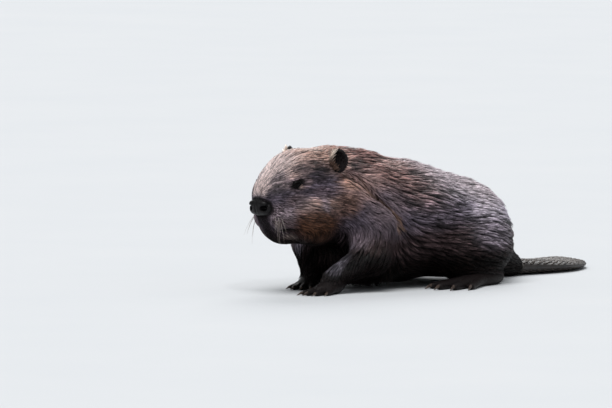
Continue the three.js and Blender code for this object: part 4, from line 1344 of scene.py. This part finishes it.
def tangent(points, turn, normal=None):
    """The hair's way on the skin at each point, turned by `turn` radians in the skin's plane."""
    if normal is None:
        _, slope = value_and_slope(skin_field, points)
        normal = unit(slope)
    way = lay(points)
    way = unit(way - normal * (way * normal).sum(axis=1)[:, None])
    side = np.cross(way, normal)
    return way * np.cos(turn)[:, None] + side * np.sin(turn)[:, None], normal


WIDTHS = [0.75, 1.0, 0.62]  # half widths of a tuft's rings, as a share of its widest
HALF_WIDTHS = {4: 0.36, 12: 0.55, 28: 0.95}  # the widest, by the tuft's length
RIDGE_SHARE = 0.55  # height of a tuft's ridge, as a share of its half width


def tuft_points(path, normals, ways, length):
    """Ten points a tuft: three rings of left, top and right, and a tip."""
    half = graph(length, HALF_WIDTHS) * RNG.uniform(0.75, 1.25, len(length))
    rings = []
    for place, normal, way, share in zip(path, normals, ways, WIDTHS):
        side = unit(np.cross(way, normal)) * (half * share)[:, None]
        rings += [place - side, place + normal * (half * share * RIDGE_SHARE)[:, None], place + side]
    return np.stack([*rings, path[3]], axis=1)


TUFT_FACES = np.array([
    (0, 2, 1), (0, 1, 4), (0, 4, 3), (1, 2, 5), (1, 5, 4), (2, 0, 3), (2, 3, 5),
    (3, 4, 7), (3, 7, 6), (4, 5, 8), (4, 8, 7), (5, 3, 6), (5, 6, 8), (6, 7, 9), (7, 8, 9), (8, 6, 9)])
TUFT_ALONG = np.array([*np.repeat(STATIONS[:3], 3), 1])
TUFT_ACROSS = np.array([0, 0.5, 1] * 3 + [0.5])


# Brightness at the stations over the markings' own, with shadows between.
FACE_SHADES, BODY_SHADES = [0.75, 1.5, 2.0, 2.3], [0.28, 1.25, 2.1, 2.9]
PAINTED_SKY_LIGHT = {0.0: 0.84, 0.7: 1.1}  # painted sky light: brightness of wet hair, by how far its skin faces up
BRIGHTEST, TINT_KNEE = 0.98, 0.7  # a tint stays under the first, and is as it was under the second


def tuft_tint(roots, normals, tone):
    """A colour for each of a tuft's points: the markings, brighter with painted sky light where the skin
    faces up, darker at the root with painted shade and paler at the tip. Its alpha is how much sky the tuft
    faces."""
    base = colours_and_painted_light(roots, normals[:, 2]) * graph(normals[:, 2], PAINTED_SKY_LIGHT)[:, None]
    on_body = smoothstep(roots[:, 1], *FACE_TO_BODY)[:, None]
    face, body = (np.interp(TUFT_ALONG, STATIONS, shades) for shades in (FACE_SHADES, BODY_SHADES))
    tint = base[:, None, :] * (tone[:, None] * (face + (body - face) * on_body))[..., None]
    peak = tint.max(axis=2, keepdims=True)
    room = BRIGHTEST - TINT_KNEE
    tint *= np.where(peak > TINT_KNEE, TINT_KNEE + room * np.tanh((peak - TINT_KNEE) / room), peak) / peak
    gleam = smoothstep(normals[:, 2], -0.3, 0.6) * (0.4 + 0.6 * smoothstep(roots[:, 2], 50, 100))
    return np.concatenate([tint, np.tile(gleam[:, None, None], (1, len(TUFT_ALONG), 1))], axis=2)


def add_tufts(name, verts, tint, surface, slot, u, v):
    """One piece of coat. (u, v), from 0 to 1, is where each tuft's patch lies on the map for baking."""
    faces = (TUFT_FACES + (np.arange(len(verts)) * len(TUFT_ALONG))[:, None, None]).reshape(-1, 3)
    piece = add_piece(name, verts.reshape(-1, 3), faces, surface, slot, tint.reshape(-1, 4))
    across = 0.01 + 0.98 * u[:, None] + PATCH * (TUFT_ALONG - 0.5)
    up = 0.01 + 0.98 * v[:, None] + PATCH * (TUFT_ACROSS - 0.5)
    uv = np.stack([across, up], axis=-1).reshape(-1, 2)[faces.ravel()]
    piece.data.uv_layers.new(name="OFBake").data.foreach_set("uv", uv.ravel())


def save_coat(roots, verts, tint, surface):
    """The tufts as joined pieces from nose to tail."""
    order = np.argsort(roots[:, 1], kind="stable")
    pieces = math.ceil(TUFTS / PIECE_TUFTS)
    for n, part in enumerate(np.array_split(order, pieces)):
        x, y, z = roots[part].T
        along = (y - y.min()) / (y.max() - y.min())
        round_body = 0.5 + np.arctan2(x, z - AXIS_HEIGHT) / (2 * math.pi)
        add_tufts(f"coat_{n + 1}", verts[part], tint[part], surface, "body_coat", along, round_body)


# ---- Stage ----
VIEW_AZIMUTH, VIEW_ELEVATION = 45, 4
VIEW_WIDTH = 0.979  # metres across the picture at the animal
NOSE_LEFT, NOSE_DOWN = 0.0816, 0.0016  # where the nose is from the picture's middle, in metres
SENSOR, LENS = 36, 500
SKY_STRENGTH = 0.36
# Lamps as (name, strength, degrees across, degrees from overhead, degrees round from the animal's front).
LAMPS = [("key", 2.1, 40, 24, 24), ("rim", 1.2, 36, 52, 222), ("glint", 0.35, 5, 42, 62)]


def make_stage():
    scene = bpy.context.scene
    scene.view_settings.view_transform = "Standard"
    bpy.ops.mesh.primitive_plane_add(size=200, location=(0, 0, 0))
    floor = bpy.context.object
    floor.name = "floor"
    s = Shader("floor_paint", 0.9, Specular_IOR_Level=0.1)
    s.drive("Base Color", s.mix(s.noise((3, 3, 3), 2.0), linear(206, 209, 212), linear(211, 213, 215)))
    floor.data.materials.append(s.material)

    world = bpy.data.worlds.new("soft_sky")
    world.use_nodes = True
    sky = next(n for n in world.node_tree.nodes if n.type == "BACKGROUND")
    sky.inputs["Color"].default_value = (0.94, 0.97, 1.0, 1)
    sky.inputs["Strength"].default_value = SKY_STRENGTH
    scene.world = world
    for name, strength, angle, tilt, turn in LAMPS:
        lamp = bpy.data.lights.new(name, "SUN")
        lamp.energy, lamp.angle = strength, math.radians(angle)
        holder = bpy.data.objects.new(name, lamp)
        holder.rotation_euler = (math.radians(tilt), 0, math.radians(turn))
        scene.collection.objects.link(holder)


def make_camera():
    """A long lens from the front left, a little over the floor, that frames the animal as it was seen."""
    a, e = math.radians(VIEW_AZIMUTH), math.radians(VIEW_ELEVATION)
    back = Vector((math.sin(a) * math.cos(e), -math.cos(a) * math.cos(e), math.sin(e)))
    right = Vector((math.cos(a), math.sin(a), 0))
    up = back.cross(right)
    nose = Vector(in_row_frame((0, 0, NOSE_HEIGHT)))
    target = nose + right * NOSE_LEFT + up * NOSE_DOWN
    data = bpy.data.cameras.new("camera")
    data.sensor_width, data.lens = SENSOR, LENS
    distance = VIEW_WIDTH * LENS / SENSOR
    data.clip_start, data.clip_end = 0.1, 300
    camera = bpy.data.objects.new("camera", data)
    camera.location = target + back * distance
    camera.rotation_mode = "QUATERNION"
    camera.rotation_quaternion = (-back).to_track_quat("-Z", "Y")
    bpy.context.scene.collection.objects.link(camera)
    bpy.context.scene.camera = camera


make_camera()
make_stage()
hide, wet_hair = fur_skin_material(), coat_material()
eye_gloss, ear_skin, horn = eye_material(), ear_material(), claw_material()
skin_points, skin_faces = make_skin(hide)
make_nose(nose_material())
for side in SIDES:
    make_eye(side, eye_gloss)
    make_lids(side, hide)
    make_ear(side, ear_skin, wet_hair)
    make_claws(side, "fore", FORE_FEET[side], *FORE_CLAW, horn)
    make_claws(side, "hind", HIND_FEET[side], *HIND_CLAW, horn)
make_tail(tail_material("tail_hide", *TAIL_HIDE), tail_material("tail_scale", *TAIL_SCALE))
make_whiskers(whisker_material())
make_coat(skin_points, skin_faces, wet_hair)
